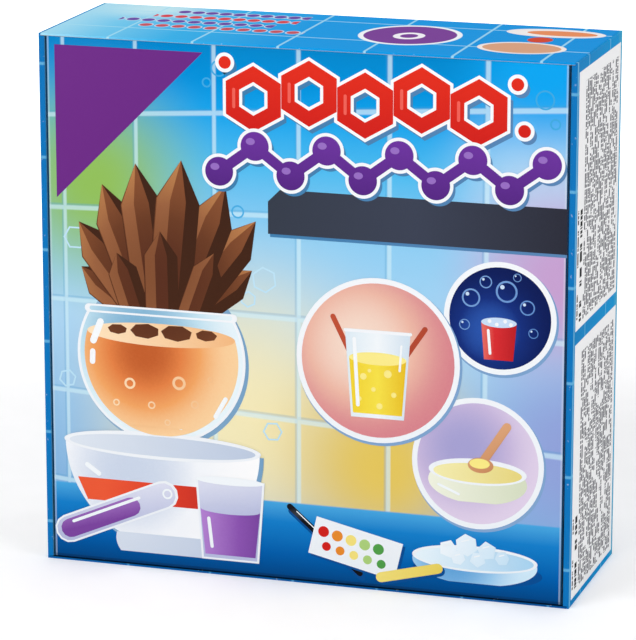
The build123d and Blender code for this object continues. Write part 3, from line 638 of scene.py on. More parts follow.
# ---- Print, left group: crystals in a glass globe on a white bowl, a tube and a small glass ----
# It fills the left of the front with brown, orange, white, red and violet at a large scale.
group_inks = {
    "white": paper_white, "shine": shine,
    "shade": ink("group_shade", ["#94b6cf", "#74a0c6"], (10, 0), (120, 0)),
    "glass": ink(
        "flask_glass", [(0.0, "#eaf6fb"), (0.45, "#bfe0ef"), (1.0, "#7fb2d3")],
        centre=(50, 144), reach=56,
    ),
    "orange": ink(
        "flask_orange", [(0.0, "#fcd3a0"), (0.4, "#f3a563"), (0.75, "#e58246"), (1.0, "#c4602f")],
        centre=(52, 152), reach=50,
    ),
    "orange_lit": ink("flask_surface", ["#ffe3bd", "#f5bb83"], (28, 0), (96, 0)),
    "brown": ink("crystal_brown", ["#8a5233", "#6b3d26", "#5a3020"], centre=(60, 118), reach=66),
    "brown_dark": ink("crystal_dark", ["#3a2116", "#4f2d1c"]),
    "brown_lit": ink("crystal_light", ["#c08350", "#9a6240", "#835033"], centre=(60, 112), reach=66),
    "bowl": ink(
        "bowl_white", [(0.0, "#ffffff"), (0.6, "#f5f8fc"), (1.0, "#cdd8ea")],
        centre=(44, 212), reach=76,
    ),
    "bowl_fold": ink("bowl_shade", ["#dfe7f1", "#c0cde2"], (16, 0), (104, 0)),
    "red": ink("bowl_red", ["#ee5b38", "#e2412c", "#bd2b23"], (30, 0), (92, 0)),
    "tube": ink("tube_glass", ["#f6f7fc", "#dcdff0", "#b9bfdf"], (34, 205), (40, 240)),
    "violet": ink(
        "tube_violet", [(0.0, "#d9b8ea"), (0.45, "#b07fcd"), (1.0, "#7d469f")],
        (33, 212), (40, 236),
    ),
    "violet_lit": ink("glass_violet", ["#b583d2", "#8c55b0", "#6d3a92"], (80, 0), (118, 0)),
    "yellow_green": ink("leaf", ["#cfe08a", "#a9cf7a"]),
}
GLOBE = (60.0, 154.0)
CRYSTALS = [
    (56, 138, 20, 112, 17), (66, 138, 106, 108, 17), (56, 138, 19, 90, 19), (66, 138, 108, 84, 19),
    (57, 138, 31, 71, 20), (65, 138, 93, 68, 21), (59, 140, 48, 60, 21), (63, 140, 71, 57, 22),
    (50, 140, 38, 104, 15), (73, 140, 87, 101, 15), (61, 142, 60, 92, 17),
]


def crystal(level, u0, t0, u1, t1, width):
    """A long crystal with a bevelled tip: dark body, middle facet and lit facet."""
    foot, tip = Vector((u0, t0)), Vector((u1, t1))
    side = (tip - foot).normalized().orthogonal() * width / 2
    if side.x < 0:
        side = -side
    shoulder = foot.lerp(tip, 0.76)

    def facet(left, right):
        return [[
            tuple(foot + side * left), tuple(shoulder + side * left), tuple(tip),
            tuple(shoulder + side * right), tuple(foot + side * right),
        ]]
    return [
        (level, "brown_dark", facet(-1.0, 1.0)),
        (level + 0.1, "brown", facet(-0.98, 0.38)),
        (level + 0.2, "brown_lit", facet(-0.94, -0.34)),
    ]


print_layers("print_crystals", [
    layer for n, one in enumerate(CRYSTALS) for layer in crystal(1.5 + 0.32 * n, *one)
], group_inks)
gu, gt = GLOBE
floating = [(38, 5.0), (52, 7.5), (68, 8.0), (83, 5.5)]
globe_bubbles = [
    (-16, 14, 2.8), (-5, 24, 1.9), (9, 12, 3.4), (17, 22, 2.1), (3, 32, 1.6), (-23, 24, 1.7), (25, 9, 1.5),
]
print_layers("print_globe", [
    (1, "shade", cup(gu + 1.3, gt + 1.6, 42.9, gt - 26, gt + 44.5)),
    (6, "white", cup(gu, gt, 42.6, gt - 22, gt + 42.6)),
    (7, "glass", cup(gu, gt, 41.2, gt - 21, gt + 41.2)),
    (8, "orange", cup(gu, gt, 39.0, gt - 11, gt + 39.0)),
    (9, "orange_lit", disc(gu, gt - 11, 37.4, flat=0.15)),
    (10, "brown", *[disc(u, gt - 12.5, r, 7, 0.3 * r, 0.5) for u, r in floating]),
    (10, "orange_lit", *[hoop(gu + du, gt + dt, r, 0.6 * r) for du, dt, r in globe_bubbles]),
    (9, "white", bar(23.5, gt - 22, 96.5, gt - 22, 4.2)),
    (10, "glass", bar(25, gt - 22, 95, gt - 22, 2.2)),
    (11, "shine", bar(25.6, 148, 29.4, 138.5, 3.4), bar(25.0, 158.5, 25.2, 153.5, 2.8)),
    (11, "shine", bar(92.5, 172, 87.4, 181, 2.2), bar(70, 189.5, 63, 191.6, 1.6)),
], group_inks)
print_layers("print_bowl", [
    (8, "shade", cup(61.5, 199.6, 50.0, 199.6, 247, flat=1.02)),
    (9, "bowl", cup(60, 198, 49.5, 198, 246, flat=1.02)),
    (10, "bowl_fold", cup(60, 246, 24, 243.0, 252.5, flat=0.62)),
    (11, "red", [[(16.6, 217), (103.4, 217), (98.4, 228), (21.6, 228)]]),
    (11, "white", disc(60, 198.2, 50.2, flat=0.135)),
    (12, "bowl_fold", disc(60, 198.4, 47.4, flat=0.105)),
    (13, "orange", cup(60, 154, 39.0, 189.0, 192.8)),
    (12, "shine", bar(21.5, 210.5, 27.5, 214.6, 2.4)),
], group_inks)
print_layers("print_violet_tube", [
    (12, "white", bar(11.5, 244.0, 61.0, 222.4, 14.2)),
    (13, "tube", bar(11.5, 244.0, 60.6, 222.6, 12.2)),
    (14, "violet", bar(12.2, 243.7, 44.0, 229.9, 9.4)),
    (15, "shine", bar(14.0, 239.9, 48.0, 225.1, 1.5), hoop(62.6, 221.8, 2.6, 1.7, 24)),
], group_inks)
print_layers("print_small_glass", [
    (12, "white", [[(77, 212), (112, 212), (109, 252.6), (80, 252.6)]]),
    (13, "tube", [[(78.2, 213), (110.8, 213), (108, 251.6), (81, 251.6)]]),
    (14, "violet_lit", [[(79.4, 227), (109.6, 227), (107.2, 250), (81.8, 250)]]),
    (15, "tube", disc(94.5, 227, 15.0, flat=0.15)),
    (15, "shine", bar(83.6, 232, 85.2, 246, 1.7), disc(94.5, 212.6, 17.2, flat=0.12)),
], group_inks)

# ---- Print, bench and wall: small tools on the bench and pale marks on the tiles ----
# A pair of tweezers under a colour card, a yellow strip and a glass dish of crystals lie on
# the bench. The tiles carry a few faint rings.
bench_inks = {
    "white": paper_white, "shine": shine,
    "shade": ink("bench_shade", ["#063a78", "#0a4f94"]),
    "black": ink("tool_black", ["#17181d", "#3a3e48", "#14151a"], (128, 222), (131, 229)),
    "red": red_row,
    "orange": ink("dot_orange", ["#f29a3a", "#e98a2c"]),
    "yellow": ink("strip_yellow", ["#f6e27c", "#e9cf58"], (166, 0), (206, 0)),
    "green": ink("dot_green", ["#6fb757", "#4f9d49"]),
    "leaf": group_inks["yellow_green"],
    "dish": ink("bench_dish", ["#d3ecfa", "#9cccee", "#5fa3da"], centre=(206, 240), reach=40),
    "dish_in": ink("bench_dish_in", ["#e8f6fd", "#a9d5f1"], (190, 0), (244, 0)),
    "crystal": ink("crystal", ["#f7fcff", "#bfe1f6"], (196, 232), (240, 246)),
    "pale": ink("wall_pale", ["#c9e9f7", "#b3dcf3"]),
    "deep": ink("wall_deep", ["#3fa9e2", "#5bb7e8"]),
}


def tilted(u, t, across, down, turn):
    """A point given along and across a card that lies turned on the bench."""
    return (
        u + across * math.cos(turn) - down * math.sin(turn),
        t + across * math.sin(turn) + down * math.cos(turn),
    )


CARD = (138.0, 226.0)
CARD_TURN = math.radians(13)
card_corners = [(0, 0), (44, 0), (44, 19), (0, 19)]
swatches = [("red", 5.0), ("orange", 12.0), ("yellow", 19.0), ("leaf", 26.0), ("green", 33.0)]
print_layers("print_bench_tools", [
    (1, "shade", bar(125.5, 224.5, 160.5, 254.5, 3.6)),
    (2, "black", bar(124.5, 222.5, 159.5, 252.5, 3.0)),
    (3, "shine", bar(128.0, 224.6, 146.0, 240.0, 0.5)),
    (3, "shade", [[tilted(CARD[0] + 1.2, CARD[1] + 1.4, a, d, CARD_TURN) for a, d in card_corners]]),
    (4, "white", [[tilted(*CARD, a, d, CARD_TURN) for a, d in card_corners]]),
    *[(
        5, key, disc(*tilted(*CARD, a, 6.4, CARD_TURN), 2.7),
        disc(*tilted(*CARD, a + 3.0, 13.2, CARD_TURN), 2.2),
    ) for key, a in swatches],
    (5, "shade", bar(171.0, 254.6, 199.0, 247.6, 5.2)),
    (6, "yellow", bar(170.0, 253.4, 198.0, 246.4, 5.0)),
], bench_inks)
crystals = [
    (203, 236, 4.6), (212, 233.4, 5.6), (222, 235.4, 4.8), (208, 240, 3.6), (217.6, 240, 4.0),
    (229.5, 238.4, 3.6),
]
hexagons = [
    (17, 98, 6.0), (29, 108, 4.4), (112, 112, 6.5), (104, 122, 4.2), (12, 168, 4.6), (116, 186, 5.0),
]
ripples = [(90, 12, 4.0), (84, 19, 2.4), (247, 18, 4.6), (252, 29, 2.6), (99, 80, 3.2), (92, 86, 1.8)]
print_layers("print_bench_dish", [
    (1, "shade", disc(217.5, 246.0, 31.5, flat=0.22)),
    (2, "dish", cup(216, 242, 30.5, 240, 252, flat=0.36)),
    (3, "white", disc(216, 240, 30.6, flat=0.21)),
    (4, "dish_in", disc(216, 240.2, 28.8, flat=0.18)),
    *[(5 + n, "crystal", disc(u, t, r, 5 + n % 2, 0.4 * n)) for n, (u, t, r) in enumerate(crystals)],
    (11, "shine", *[bar(u - 0.4 * r, t - 0.3 * r, u + 0.2 * r, t - 0.5 * r, 0.6) for u, t, r in crystals]),
], bench_inks)
print_layers("print_wall_marks", [
    (1, "pale", *[hoop(u, t, r, r - 0.9, 6, 0.2 * n) for n, (u, t, r) in enumerate(hexagons)]),
    (1, "deep", *[hoop(u, t, r, r - 0.8, 40) for u, t, r in ripples]),
], bench_inks)


# ---- Walls and back: the same sheet, printed as tiled wall with plain panels ----
# The top carries rows of small beads and a violet spot, the sides two white panels of grey
# rules, and the back one broad panel. The rolled side walls show blue ink on their edges.
WRAP, ROLLED_WRAP = 0.9 * MM, 3.2 * MM
# the turned-in ply is bare coated white, but for a bleed of blue along the front edge; the bottom wall's
# inner face has painted shade over the same width
INNER_PLY = 1.6 * MM
BLEED_AND_SHADE_WIDTH = 2.5 * MM


def inside(tree, u, v, low, high, soft=0.15):
    """One within a rectangle of the print."""
    reach = []
    for at, a, b in ((u, low[0], high[0]), (v, low[1], high[1])):
        off = add(tree, "ABSOLUTE", add(tree, "SUBTRACT", at, (a + b) / 2 * MM))
        reach.append(add(tree, "SUBTRACT", off, (b - a) / 2 * MM))
    out = add(tree, "MAXIMUM", *reach)
    return add(
        tree, "MapRange", Value=out, From_Min=-soft * MM, From_Max=soft * MM, To_Min=1.0, To_Max=0.0
    )


def spot(tree, u, v, centre, radii, soft=0.2):
    """One within an ellipse of the print."""
    across = add(tree, "DIVIDE", add(tree, "SUBTRACT", u, centre[0] * MM), radii[0] * MM)
    along = add(tree, "DIVIDE", add(tree, "SUBTRACT", v, centre[1] * MM), radii[1] * MM)
    place = add(tree, "CombineXYZ", across, along)
    far = add(tree, "VectorMath:LENGTH", place, out="Value")
    edge = soft / radii[0]
    return add(
        tree, "MapRange", Value=far, From_Min=1 - edge, From_Max=1 + edge, To_Min=1.0, To_Max=0.0
    )


def beads(tree, u, v, row, ends, pitch, radius):
    """One within a row of round beads."""
    cell = add(tree, "WRAP", u, pitch / 2 * MM, -pitch / 2 * MM)
    one = spot(tree, cell, v, (0, row), (radius, 1.25 * radius))
    return add(tree, "MULTIPLY", one, inside(tree, u, v, (ends[0], row - 9), (ends[1], row + 9)))


# (length in mm, least noise): letter-long and word-long gaps, and rows that stop short
STROKES = ((1.1, 0.38), (5.5, 0.35), (26.0, 0.31))
HALF_STROKE = 0.34
ROW_SHIFT = 7.31


def rules(tree, along, across, pitch, seed):
    """One within the strokes of broken rules, in rows of one pitch."""
    place = add(tree, "DIVIDE", across, pitch * MM)
    row = add(tree, "FLOOR", place)
    start = add(tree, "MULTIPLY_ADD", row, ROW_SHIFT, seed)
    in_row = add(tree, "ABSOLUTE", add(tree, "SUBTRACT", add(tree, "FRACT", place), 0.5))
    kept = add(tree, "LESS_THAN", in_row, HALF_STROKE)
    for length, least in STROKES:
        run = add(tree, "ADD", add(tree, "DIVIDE", along, length * MM), start)
        strokes = add(tree, "TexNoise", settings={"noise_dimensions": "1D"}, W=run, Scale=1.0, Detail=0.0)
        kept = add(tree, "MULTIPLY", kept, add(tree, "GREATER_THAN", strokes, least))
    return kept


# (colour, centre, radii): a rimmed violet spot with a ring, then two orange motifs and a ball
TOP_SPOTS = [
    ("#f4f8fc", (38.5, 2.0), (24.5, 26.5)), ("#7b3f98", (38.5, 2.0), (22.0, 23.6)),
    ("#f6f3fa", (38.5, 0.0), (7.5, 9.0)), ("#7b3f98", (38.5, 0.0), (4.2, 5.2)),
    ("#f3efee", (103, 27), (24.0, 11.0)), ("#ea8f5f", (106, 27), (17.0, 6.4)),
    ("#f5ece6", (97, -15), (21.0, 15.0)), ("#dba382", (97, -15), (18.6, 12.6)),
    ("#d5472f", (100, 8), (6.0, 7.0)),
]
# (place, colour, start)
BEAD_ROWS = [(31.0, "#6b4aa5", -88), (18.0, "#d8434f", -95), (5.0, "#6a4ba6", -108), (-8.0, "#c8525f", -94)]


def top_print(tree, xyz):
    """Tiles that fade to pale on the left, rows of beads, and the spots."""
    u, v = xyz["X"], xyz["Y"]
    share = add(tree, "MapRange", Value=u, From_Min=-half_width, From_Max=half_width)
    ink = add(tree, "ValToRGB", Fac=share, stops=[
        (0.0, "#a8e0f6"), (1.0, "#0593e0"), (0.10, "#74ccf2"), (0.24, "#34b2ec"), (0.45, "#0a9be6"),
    ])
    ink = blend_over(tree, ink, "#c4ebf6", glow_at(tree, u, v, (-0.100, 0.036), 0.045))
    ink = tiled(tree, u, v, ink, "#a9e2f6", 0.8, (-0.012, -0.018))
    for n, (row, colour, start) in enumerate(BEAD_ROWS):
        ends = (start, start + 68 + 5 * n)
        for colour_of, radius in (("#c9dcf0", 3.7), (colour, 3.0)):
            ink = blend_over(tree, ink, colour_of, beads(tree, u, v, row, ends, 7.0 + 0.4 * n, radius))
    for colour, centre, radii in TOP_SPOTS:
        ink = blend_over(tree, ink, colour, spot(tree, u, v, centre, radii))
    return ink


def side_print(tree, xyz):
    """Blue edges and waist with a painted highlight band next to the front corner, and two white panels whose
    grey rules run up the side.
    """
    u, v = xyz["Y"], xyz["Z"]
    rise = add(tree, "MapRange", Value=u, From_Min=-half_depth, From_Max=half_depth)
    # the stops from 0.006 to 0.03 paint a pale highlight band next to the front corner, where the rounded
    # corner catches light
    ink = add(tree, "ValToRGB", Fac=rise, stops=[
        (0.0, "#0f76bd"), (1.0, "#4fb0cf"), (0.006, "#1580c6"), (0.009, "#7cc4e6"), (0.018, "#7cc4e6"),
        (0.03, "#0f86c8"), (0.9, "#0098da"),
    ])
    ink = tiled(tree, u, v, ink, "#7cc9ea", 0.6, (-0.022, 0.019))
    for low, high, dark_to in ((3.0, 126.7, 42.0), (133.3, 255.0, 190.0)):
        ink = blend_over(tree, ink, "#fdfdfe", inside(tree, u, v, (-41.0, low), (41.5, high)))
        area = inside(tree, u, v, (-28.0, low + 3), (38.0, high - 6))
        small = add(tree, "MULTIPLY", rules(tree, v, u, 3.1, low), area)
        ink = blend_over(tree, ink, "#5a5b63", small)
        area = inside(tree, u, v, (-39.5, low + 3), (-30.5, dark_to))
        heavy = add(tree, "MULTIPLY", rules(tree, v, u, 9.0, 3.0), area)
        ink = blend_over(tree, ink, "#1d1e22", heavy)
    turned_in = add(tree, "LESS_THAN", add(tree, "ABSOLUTE", xyz["X"]), half_width - INNER_PLY)
    behind = add(tree, "GREATER_THAN", u, BLEED_AND_SHADE_WIDTH - half_depth)
    return blend_over(tree, ink, "#e6eaec", add(tree, "MULTIPLY", turned_in, behind))


def back_print(tree, xyz):
    """A white panel of grey rules under four rings, and a violet band with white beads."""
    u, v = xyz["X"], xyz["Z"]
    rise = add(tree, "MapRange", Value=v, From_Max=HEIGHT)
    ink = add(tree, "ValToRGB", Fac=rise, stops=[(0.0, "#0758a6"), (1.0, "#1ba0de"), (0.4, "#49b2e4")])
    ink = tiled(tree, u, v, ink, "#bfe6f6", 0.6, (LEFT, 12 * MM))
    ink = blend_over(tree, ink, "#f4f7fa", inside(tree, u, v, (-112, 22), (112, 150)))
    area = inside(tree, u, v, (-104, 30), (104, 96))
    lines = add(tree, "MULTIPLY", rules(tree, u, v, 3.6, 11.0), area)
    ink = blend_over(tree, ink, "#8d93a1", lines)
    for n, colour in enumerate(("#d7363a", "#f0b429", "#58a54a", "#6a3d9a")):
        place = (-78 + 52 * n, 123)
        ink = blend_over(tree, ink, colour, spot(tree, u, v, place, (17.0, 17.0)))
        ink = blend_over(tree, ink, "#f4f7fa", spot(tree, u, v, place, (9.0, 9.0)))
    ink = blend_over(tree, ink, "#7b3f98", inside(tree, u, v, (-112, 176), (112, 232)))
    return blend_over(tree, ink, "#fbfcfe", beads(tree, u, v, 204, (-109, 109), 20, 6.0))


def foot_print(tree, xyz):
    """Dark tiles below. The inner face is bare liner behind a strip of painted shade along the lid, where the
    gap under the lid falls dark.
    """
    u, v = xyz["X"], xyz["Y"]
    share = add(tree, "MapRange", Value=u, From_Min=-half_width, From_Max=half_width)
    ink = add(tree, "ValToRGB", Fac=share, stops=["#0a66ad", "#07569c"])
    ink = tiled(tree, u, v, ink, "#5fb0dd", 0.6, (LEFT, 12 * MM))
    inner = add(tree, "GREATER_THAN", xyz["Z"], 0.95 * BOARD)
    behind = add(tree, "GREATER_THAN", v, BLEED_AND_SHADE_WIDTH - half_depth)
    # painted shade: dark navy on the inner face, kept only in the front strip that shows through the gap
    # under the lid
    ink = blend_over(tree, ink, "#0c3050", inner)
    return blend_over(tree, ink, "#d8d4cb", add(tree, "MULTIPLY", inner, behind))


dress("top_wall", printed_board("printed_top", "Z", HEIGHT, top_print, WRAP, "X"))
dress("bottom_wall", printed_board("printed_foot", "Z", 0.0, foot_print, 1.05 * BOARD, "X"))
dress("back_panel", printed_board("printed_back", "Y", half_depth, back_print, WRAP, "X"))
dress("right_side_wall", printed_board("printed_right", "X", half_width, side_print, ROLLED_WRAP, "Z"))
dress("left_side_wall", printed_board("printed_left", "X", -half_width, side_print, ROLLED_WRAP, "Z"))


# ---- Flaps: unprinted liner inside, blue ink on the outer side, kraft flutes at cut edges ----
# Dust flaps and the tuck flap turn in from the lid. The corner flaps lie between the two
# plies of each rolled side wall.
def flap_board(name, side):
    """Board whose printed side is known by its direction, for panels that lean."""
    material, tree = new_material(name)
    place = add(tree, "TexCoord", out=None)
    facing = add(tree, "VectorMath:DOT_PRODUCT", place["Normal"], side, out="Value")
    printed = add(tree, "GREATER_THAN", facing, 0.7)
    plain = add(tree, "LESS_THAN", facing, -0.7)
    fibres = add(tree, "TexNoise", Vector=place["Object"], Scale=every(2 * FIBRE), Detail=4.0)
    liner = add(tree, "ValToRGB", stops=[(0.3, "#d6d2c9"), (0.7, "#e4e1d9")], Fac=fibres)
    kraft = add(tree, "ValToRGB", stops=[(0.3, "#a88a63"), (0.7, "#c3a67d")], Fac=fibres)
    colour = blend_over(tree, kraft, liner, plain)
    colour = blend_over(tree, colour, "#1787cd", printed)
    finish = coated(tree, colour, place["Object"], waves="X")
    gloss = add(tree, "MapRange", Value=printed, To_Min=0.75, To_Max=0.3)
    tree.links.new(gloss, finish.node.inputs["Roughness"])
    add(tree, "OutputMaterial", Surface=finish, out=None)
    return material


dress("left_dust_flap", flap_board("left_flap_board", (-1, 0, 0)))
dress("right_dust_flap", flap_board("right_flap_board", (1, 0, 0)))
dress("tuck_flap", flap_board("tuck_flap_board", (0, 0, -1)))
dress("corner_flaps", flap_board("corner_flap_board", (0, -1, 0)))


# ---- Inserts: two blocks of moulded foam beads, their rims softened by the mould ----
# The solids keep their wells. Rims and upright corners are rounded here, and the beads
# show as fine cells with a faint dent along each joint.
BEAD, RIM = 2.6, 0.9
FLOW, SKIN = 55.0, 2600.0


def solid_plastic(name, colour, roughness=0.35, grain=0.3, through=0.0, lines=None, edge=0.25, bump=0.25):
    """Moulded plastic or rubber: soft edges, faint flow marks and a fine-grained skin."""
    material, tree = new_material(name)
    place = add(tree, "TexCoord", out="Object")
    flow = add(tree, "TexNoise", Vector=place, Scale=FLOW, Detail=3.0, Distortion=0.6)
    light, dark = colour
    skin = add(tree, "ValToRGB", stops=[(0.3, dark), (0.7, light)], Fac=flow)
    fine = add(tree, "TexNoise", Vector=place, Scale=every(grain), Detail=2.0)
    relief = fine
    if lines:
        axis, pitch, low, high = lines
        xyz = add(tree, "SeparateXYZ", Vector=place, out=None)
        wave = add(tree, "SINE", add(tree, "MULTIPLY", xyz[axis], 2 * math.pi / (pitch * MM)))
        at = add(tree, "SUBTRACT", xyz["X"], (low + high) / 2 * MM)
        near = add(tree, "LESS_THAN", add(tree, "ABSOLUTE", at), (high - low) / 2 * MM)
        ridges = add(tree, "MULTIPLY", add(tree, "MULTIPLY", wave, near), 6.0)
        relief = add(tree, "ADD", relief, ridges)
    soft = add(tree, "Bevel", settings={"samples": 4}, Radius=edge * MM)
    raised = add(
        tree, "Bump", Height=relief, Strength=bump, Distance=0.03 * MM, Normal=soft
    )
    rough = add(
        tree, "MapRange", Value=flow, To_Min=roughness - 0.06, To_Max=roughness + 0.08
    )
    finish = add(
        tree, "BsdfPrincipled", Base_Color=skin, Roughness=rough, IOR=1.5,
        Transmission_Weight=through, Normal=raised,
    )
    add(tree, "OutputMaterial", Surface=finish, out=None)
    return material


def polish(node_name, material, angle=32):
    """Dress a carried-over solid and shade its curved faces smooth."""
    dress(node_name, material)
    node_mesh = nodes[node_name].data
    node_mesh.polygons.foreach_set("use_smooth", [True] * len(node_mesh.polygons))
    node_mesh.set_sharp_from_angle(angle=math.radians(angle))


bead_foam, tree = new_material("moulded_foam_beads")
place = add(tree, "TexCoord", out="Object")
cells = add(
    tree, "TexVoronoi", settings={"feature": "F1"}, Vector=place, Scale=every(BEAD),
    Randomness=0.85, out="Color",
)
joints = add(
    tree, "TexVoronoi", settings={"feature": "DISTANCE_TO_EDGE"}, Vector=place, Scale=every(BEAD),
    Randomness=0.85,
)
shade = add(tree, "SeparateColor", Color=cells)
bead_tone = add(
    tree, "ValToRGB", stops=["#e9ebee", "#f2f3f5"], Fac=shade
)
seam = add(
    tree, "MapRange", Value=joints, From_Max=0.07, To_Min=0.45, To_Max=0.0
)
tone = blend_over(tree, bead_tone, "#cfd3d9", seam)
dent = add(
    tree, "MapRange", settings={"interpolation_type": "SMOOTHSTEP"}, Value=joints, From_Max=0.22
)
skin = add(tree, "TexNoise", Vector=place, Scale=SKIN, Detail=2.0)
height = add(tree, "ADD", dent, add(tree, "MULTIPLY", skin, 0.25))
dented = add(tree, "Bump", Height=height, Strength=0.5, Distance=0.12 * MM)
foam = add(
    tree, "BsdfPrincipled", Base_Color=tone, Roughness=0.62, IOR=1.35, Normal=dented,
    Subsurface_Weight=0.08, Subsurface_Scale=2 * MM,
)
add(tree, "OutputMaterial", Surface=foam, out=None)

for node_name in ("upper_insert", "lower_insert"):
    bm = bmesh.new()
    bm.from_mesh(nodes[node_name].data)
    bmesh.ops.remove_doubles(bm, verts=bm.verts, dist=0.001 * MM)
    bmesh.ops.dissolve_limit(
        bm, angle_limit=math.radians(0.5), verts=bm.verts, edges=bm.edges, use_dissolve_boundaries=False
    )
    rims = [e for e in bm.edges if len(e.link_faces) == 2 and e.is_convex and e.calc_face_angle() > 0.6]
    break_edges(bm, rims, RIM * MM)
    insert = finished("foam_" + node_name, bm, "case", [bead_foam], sharp=40)
    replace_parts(insert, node_name)


# ---- Booklet, chart and strips: coated paper, printed card and indicator paper ----
# The booklet lies between the inserts and the back. The card has a column of reference
# colours parted by pale lines, and each yellow strip has a grey tip for handling.
def sheet(name, paint, roughness=0.5):
    material, tree = new_material(name)
    place = add(tree, "TexCoord", out="Object")
    xyz = add(tree, "SeparateXYZ", Vector=place, out=None)
    colour = paint(tree, xyz["X"], xyz["Z"], xyz["Y"])
    finish = coated(tree, colour, place, roughness, coat=0.1)
    add(tree, "OutputMaterial", Surface=finish, out=None)
    return material


def booklet_paint(tree, u, v, w):
    """White cover with a blue band. Page edges show as fine lines."""
    leaves = add(tree, "SINE", add(tree, "MULTIPLY", w, 2 * math.pi / (0.2 * MM)))
    paper = add(tree, "ValToRGB", stops=[(0.2, "#d8d9da"), (0.8, "#eef0f1")], Fac=leaves)
    (_, y0, _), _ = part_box("instruction_booklet")
    cover = add(tree, "LESS_THAN", w, y0 + 0.15 * MM)
    colour = blend_over(tree, paper, "#f3f5f7", cover)
    band = add(tree, "MULTIPLY", cover, inside(tree, u, v, (-100, 176), (100, 222)))
    return blend_over(tree, colour, "#1b8fd0", band)


def chart_paint(tree, u, v, w):
    (x0, y0, z0), (x1, _, z1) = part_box("ph_chart")
    rise = add(tree, "MapRange", Value=v, From_Min=z0 + 5 * MM, From_Max=z1 - 5 * MM)
    step = add(tree, "SNAP", rise, 0.125)
    scale = add(tree, "ValToRGB", stops=[
        (0.0, "#b3202c"), (1.0, "#4a2a78"), (0.15, "#e2582c"), (0.3, "#f0a62c"), (0.45, "#ecd94a"),
        (0.6, "#8fbf4f"), (0.75, "#3f8f5f"), (0.88, "#2f5f93"),
    ], Fac=step)
    bars = add(tree, "WRAP", rise, 0.125, 0.0)
    gaps = add(tree, "GREATER_THAN", bars, 0.018)
    middle = (x0 + x1) / 2 / MM
    area = inside(tree, u, v, (middle - 21, z0 / MM + 5), (middle + 21, z1 / MM - 5))
    face = add(tree, "LESS_THAN", w, y0 + 0.2 * MM)
    area = add(tree, "MULTIPLY", add(tree, "MULTIPLY", area, gaps), face)
    return blend_over(tree, "#f3f2ee", scale, area)


def strip_paint(tree, u, v, w):
    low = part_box("ph_strips")[0][2]
    rise = add(tree, "MapRange", Value=v, From_Min=low, From_Max=low + 60 * MM)
    return add(tree, "ValToRGB", stops=[
        (0.0, "#e6c93c"), (1.0, "#8a8d90"), (0.8, "#f0dc6a"), (0.86, "#8a8d90"),
    ], Fac=rise)


polish("instruction_booklet", sheet("coated_booklet_paper", booklet_paint))
polish("ph_chart", sheet("printed_card", chart_paint))
polish("ph_strips", sheet("indicator_paper", strip_paint, 0.8))


# ---- Clear pieces: tubes, beaker, jars and syringe barrel in clear moulded polystyrene ----
# A faint blue tint, fine flow marks, and white graduations printed as plain marks only. The
# tubes have rubber stoppers, and the jars have ribbed caps whose plugs fit their bores.
CLEAR_FLOW = 90.0


def clear_plastic(name, marks=None, through=1.0):
    material, tree = new_material(name)
    place = add(tree, "TexCoord", out="Object")
    xyz = add(tree, "SeparateXYZ", Vector=place, out=None)
    flow = add(tree, "TexNoise", Vector=place, Scale=CLEAR_FLOW, Detail=2.0, Distortion=1.0)
    rough = add(tree, "MapRange", Value=flow, To_Min=0.02, To_Max=0.07)
    soft = add(tree, "Bevel", settings={"samples": 4}, Radius=0.2 * MM)
    ripple = add(
        tree, "Bump", Height=flow, Strength=0.1, Distance=0.05 * MM,
        Normal=soft,
    )
    glass = add(
        tree, "BsdfPrincipled", Base_Color="#eef6f8", Roughness=rough, IOR=1.45,
        Transmission_Weight=through, Normal=ripple,
    )
    surface = glass
    if marks:
        ink = add(tree, "BsdfPrincipled", Base_Color="#f3f5f6", Roughness=0.45)
        surface = add(tree, "MixShader", marks(tree, xyz), surface, ink)
    # light falls on through it, as it does through thin clear walls
    shadow = add(tree, "MULTIPLY", add(tree, "LightPath", out="Is Shadow Ray"), 0.9)
    open_way = add(tree, "BsdfTransparent", Color="#f4fafb")
    surface = add(tree, "MixShader", shadow, surface, open_way)
    add(tree, "OutputMaterial", Surface=surface, out=None)
    return material


def within(tree, value, low, high):
    """One where a value lies between two others."""
    above = add(tree, "GREATER_THAN", value, low)
    return add(tree, "MULTIPLY", above, add(tree, "LESS_THAN", value, high))


def graduations(along, across, facing, start, pitch, count, middle, reach, front_at):
    """Printed marks: a long one every fifth, on the side that faces the lid."""
    def marks(tree, xyz):
        run = add(tree, "DIVIDE", add(tree, "SUBTRACT", xyz[along], start * MM), pitch * MM)
        cell = add(tree, "SUBTRACT", add(tree, "FRACT", run), 0.5)
        line = add(tree, "LESS_THAN", add(tree, "ABSOLUTE", cell), 0.35 / pitch)
        there = within(tree, run, 0.0, count)
        fifth = add(tree, "LESS_THAN", add(tree, "MODULO", add(tree, "FLOOR", run), 5.0), 0.5)
        width = add(tree, "MapRange", Value=fifth, To_Min=0.55 * reach * MM, To_Max=reach * MM)
        off = add(tree, "SUBTRACT", xyz[across], (middle - reach) * MM)
        span = within(tree, off, 0.0, width)
        near = add(tree, "LESS_THAN", xyz[facing], front_at * MM)
        shown = add(tree, "MULTIPLY", add(tree, "MULTIPLY", line, there), span)
        return add(tree, "MULTIPLY", shown, near)
    return marks


def softened(profile, corners, steps=4):
    """A profile whose named corners are rounded: {index: radius}."""
    out = []
    for n, point in enumerate(profile):
        if n not in corners:
            out.append(point)
            continue
        here = Vector(point)
        into = (Vector(profile[n - 1]) - here).normalized()
        on = (Vector(profile[(n + 1) % len(profile)]) - here).normalized()
        half = into.angle(on) / 2
        reach = corners[n] / math.tan(half)
        centre = here + (into + on).normalized() * corners[n] / math.sin(half)
        first, last = here + into * reach - centre, here + on * reach - centre
        sweep = first.angle_signed(last)
        for step in range(steps + 1):
            turn = Matrix.Rotation(-sweep * step / steps, 2)
            out.append(tuple(centre + turn @ first))
    return out


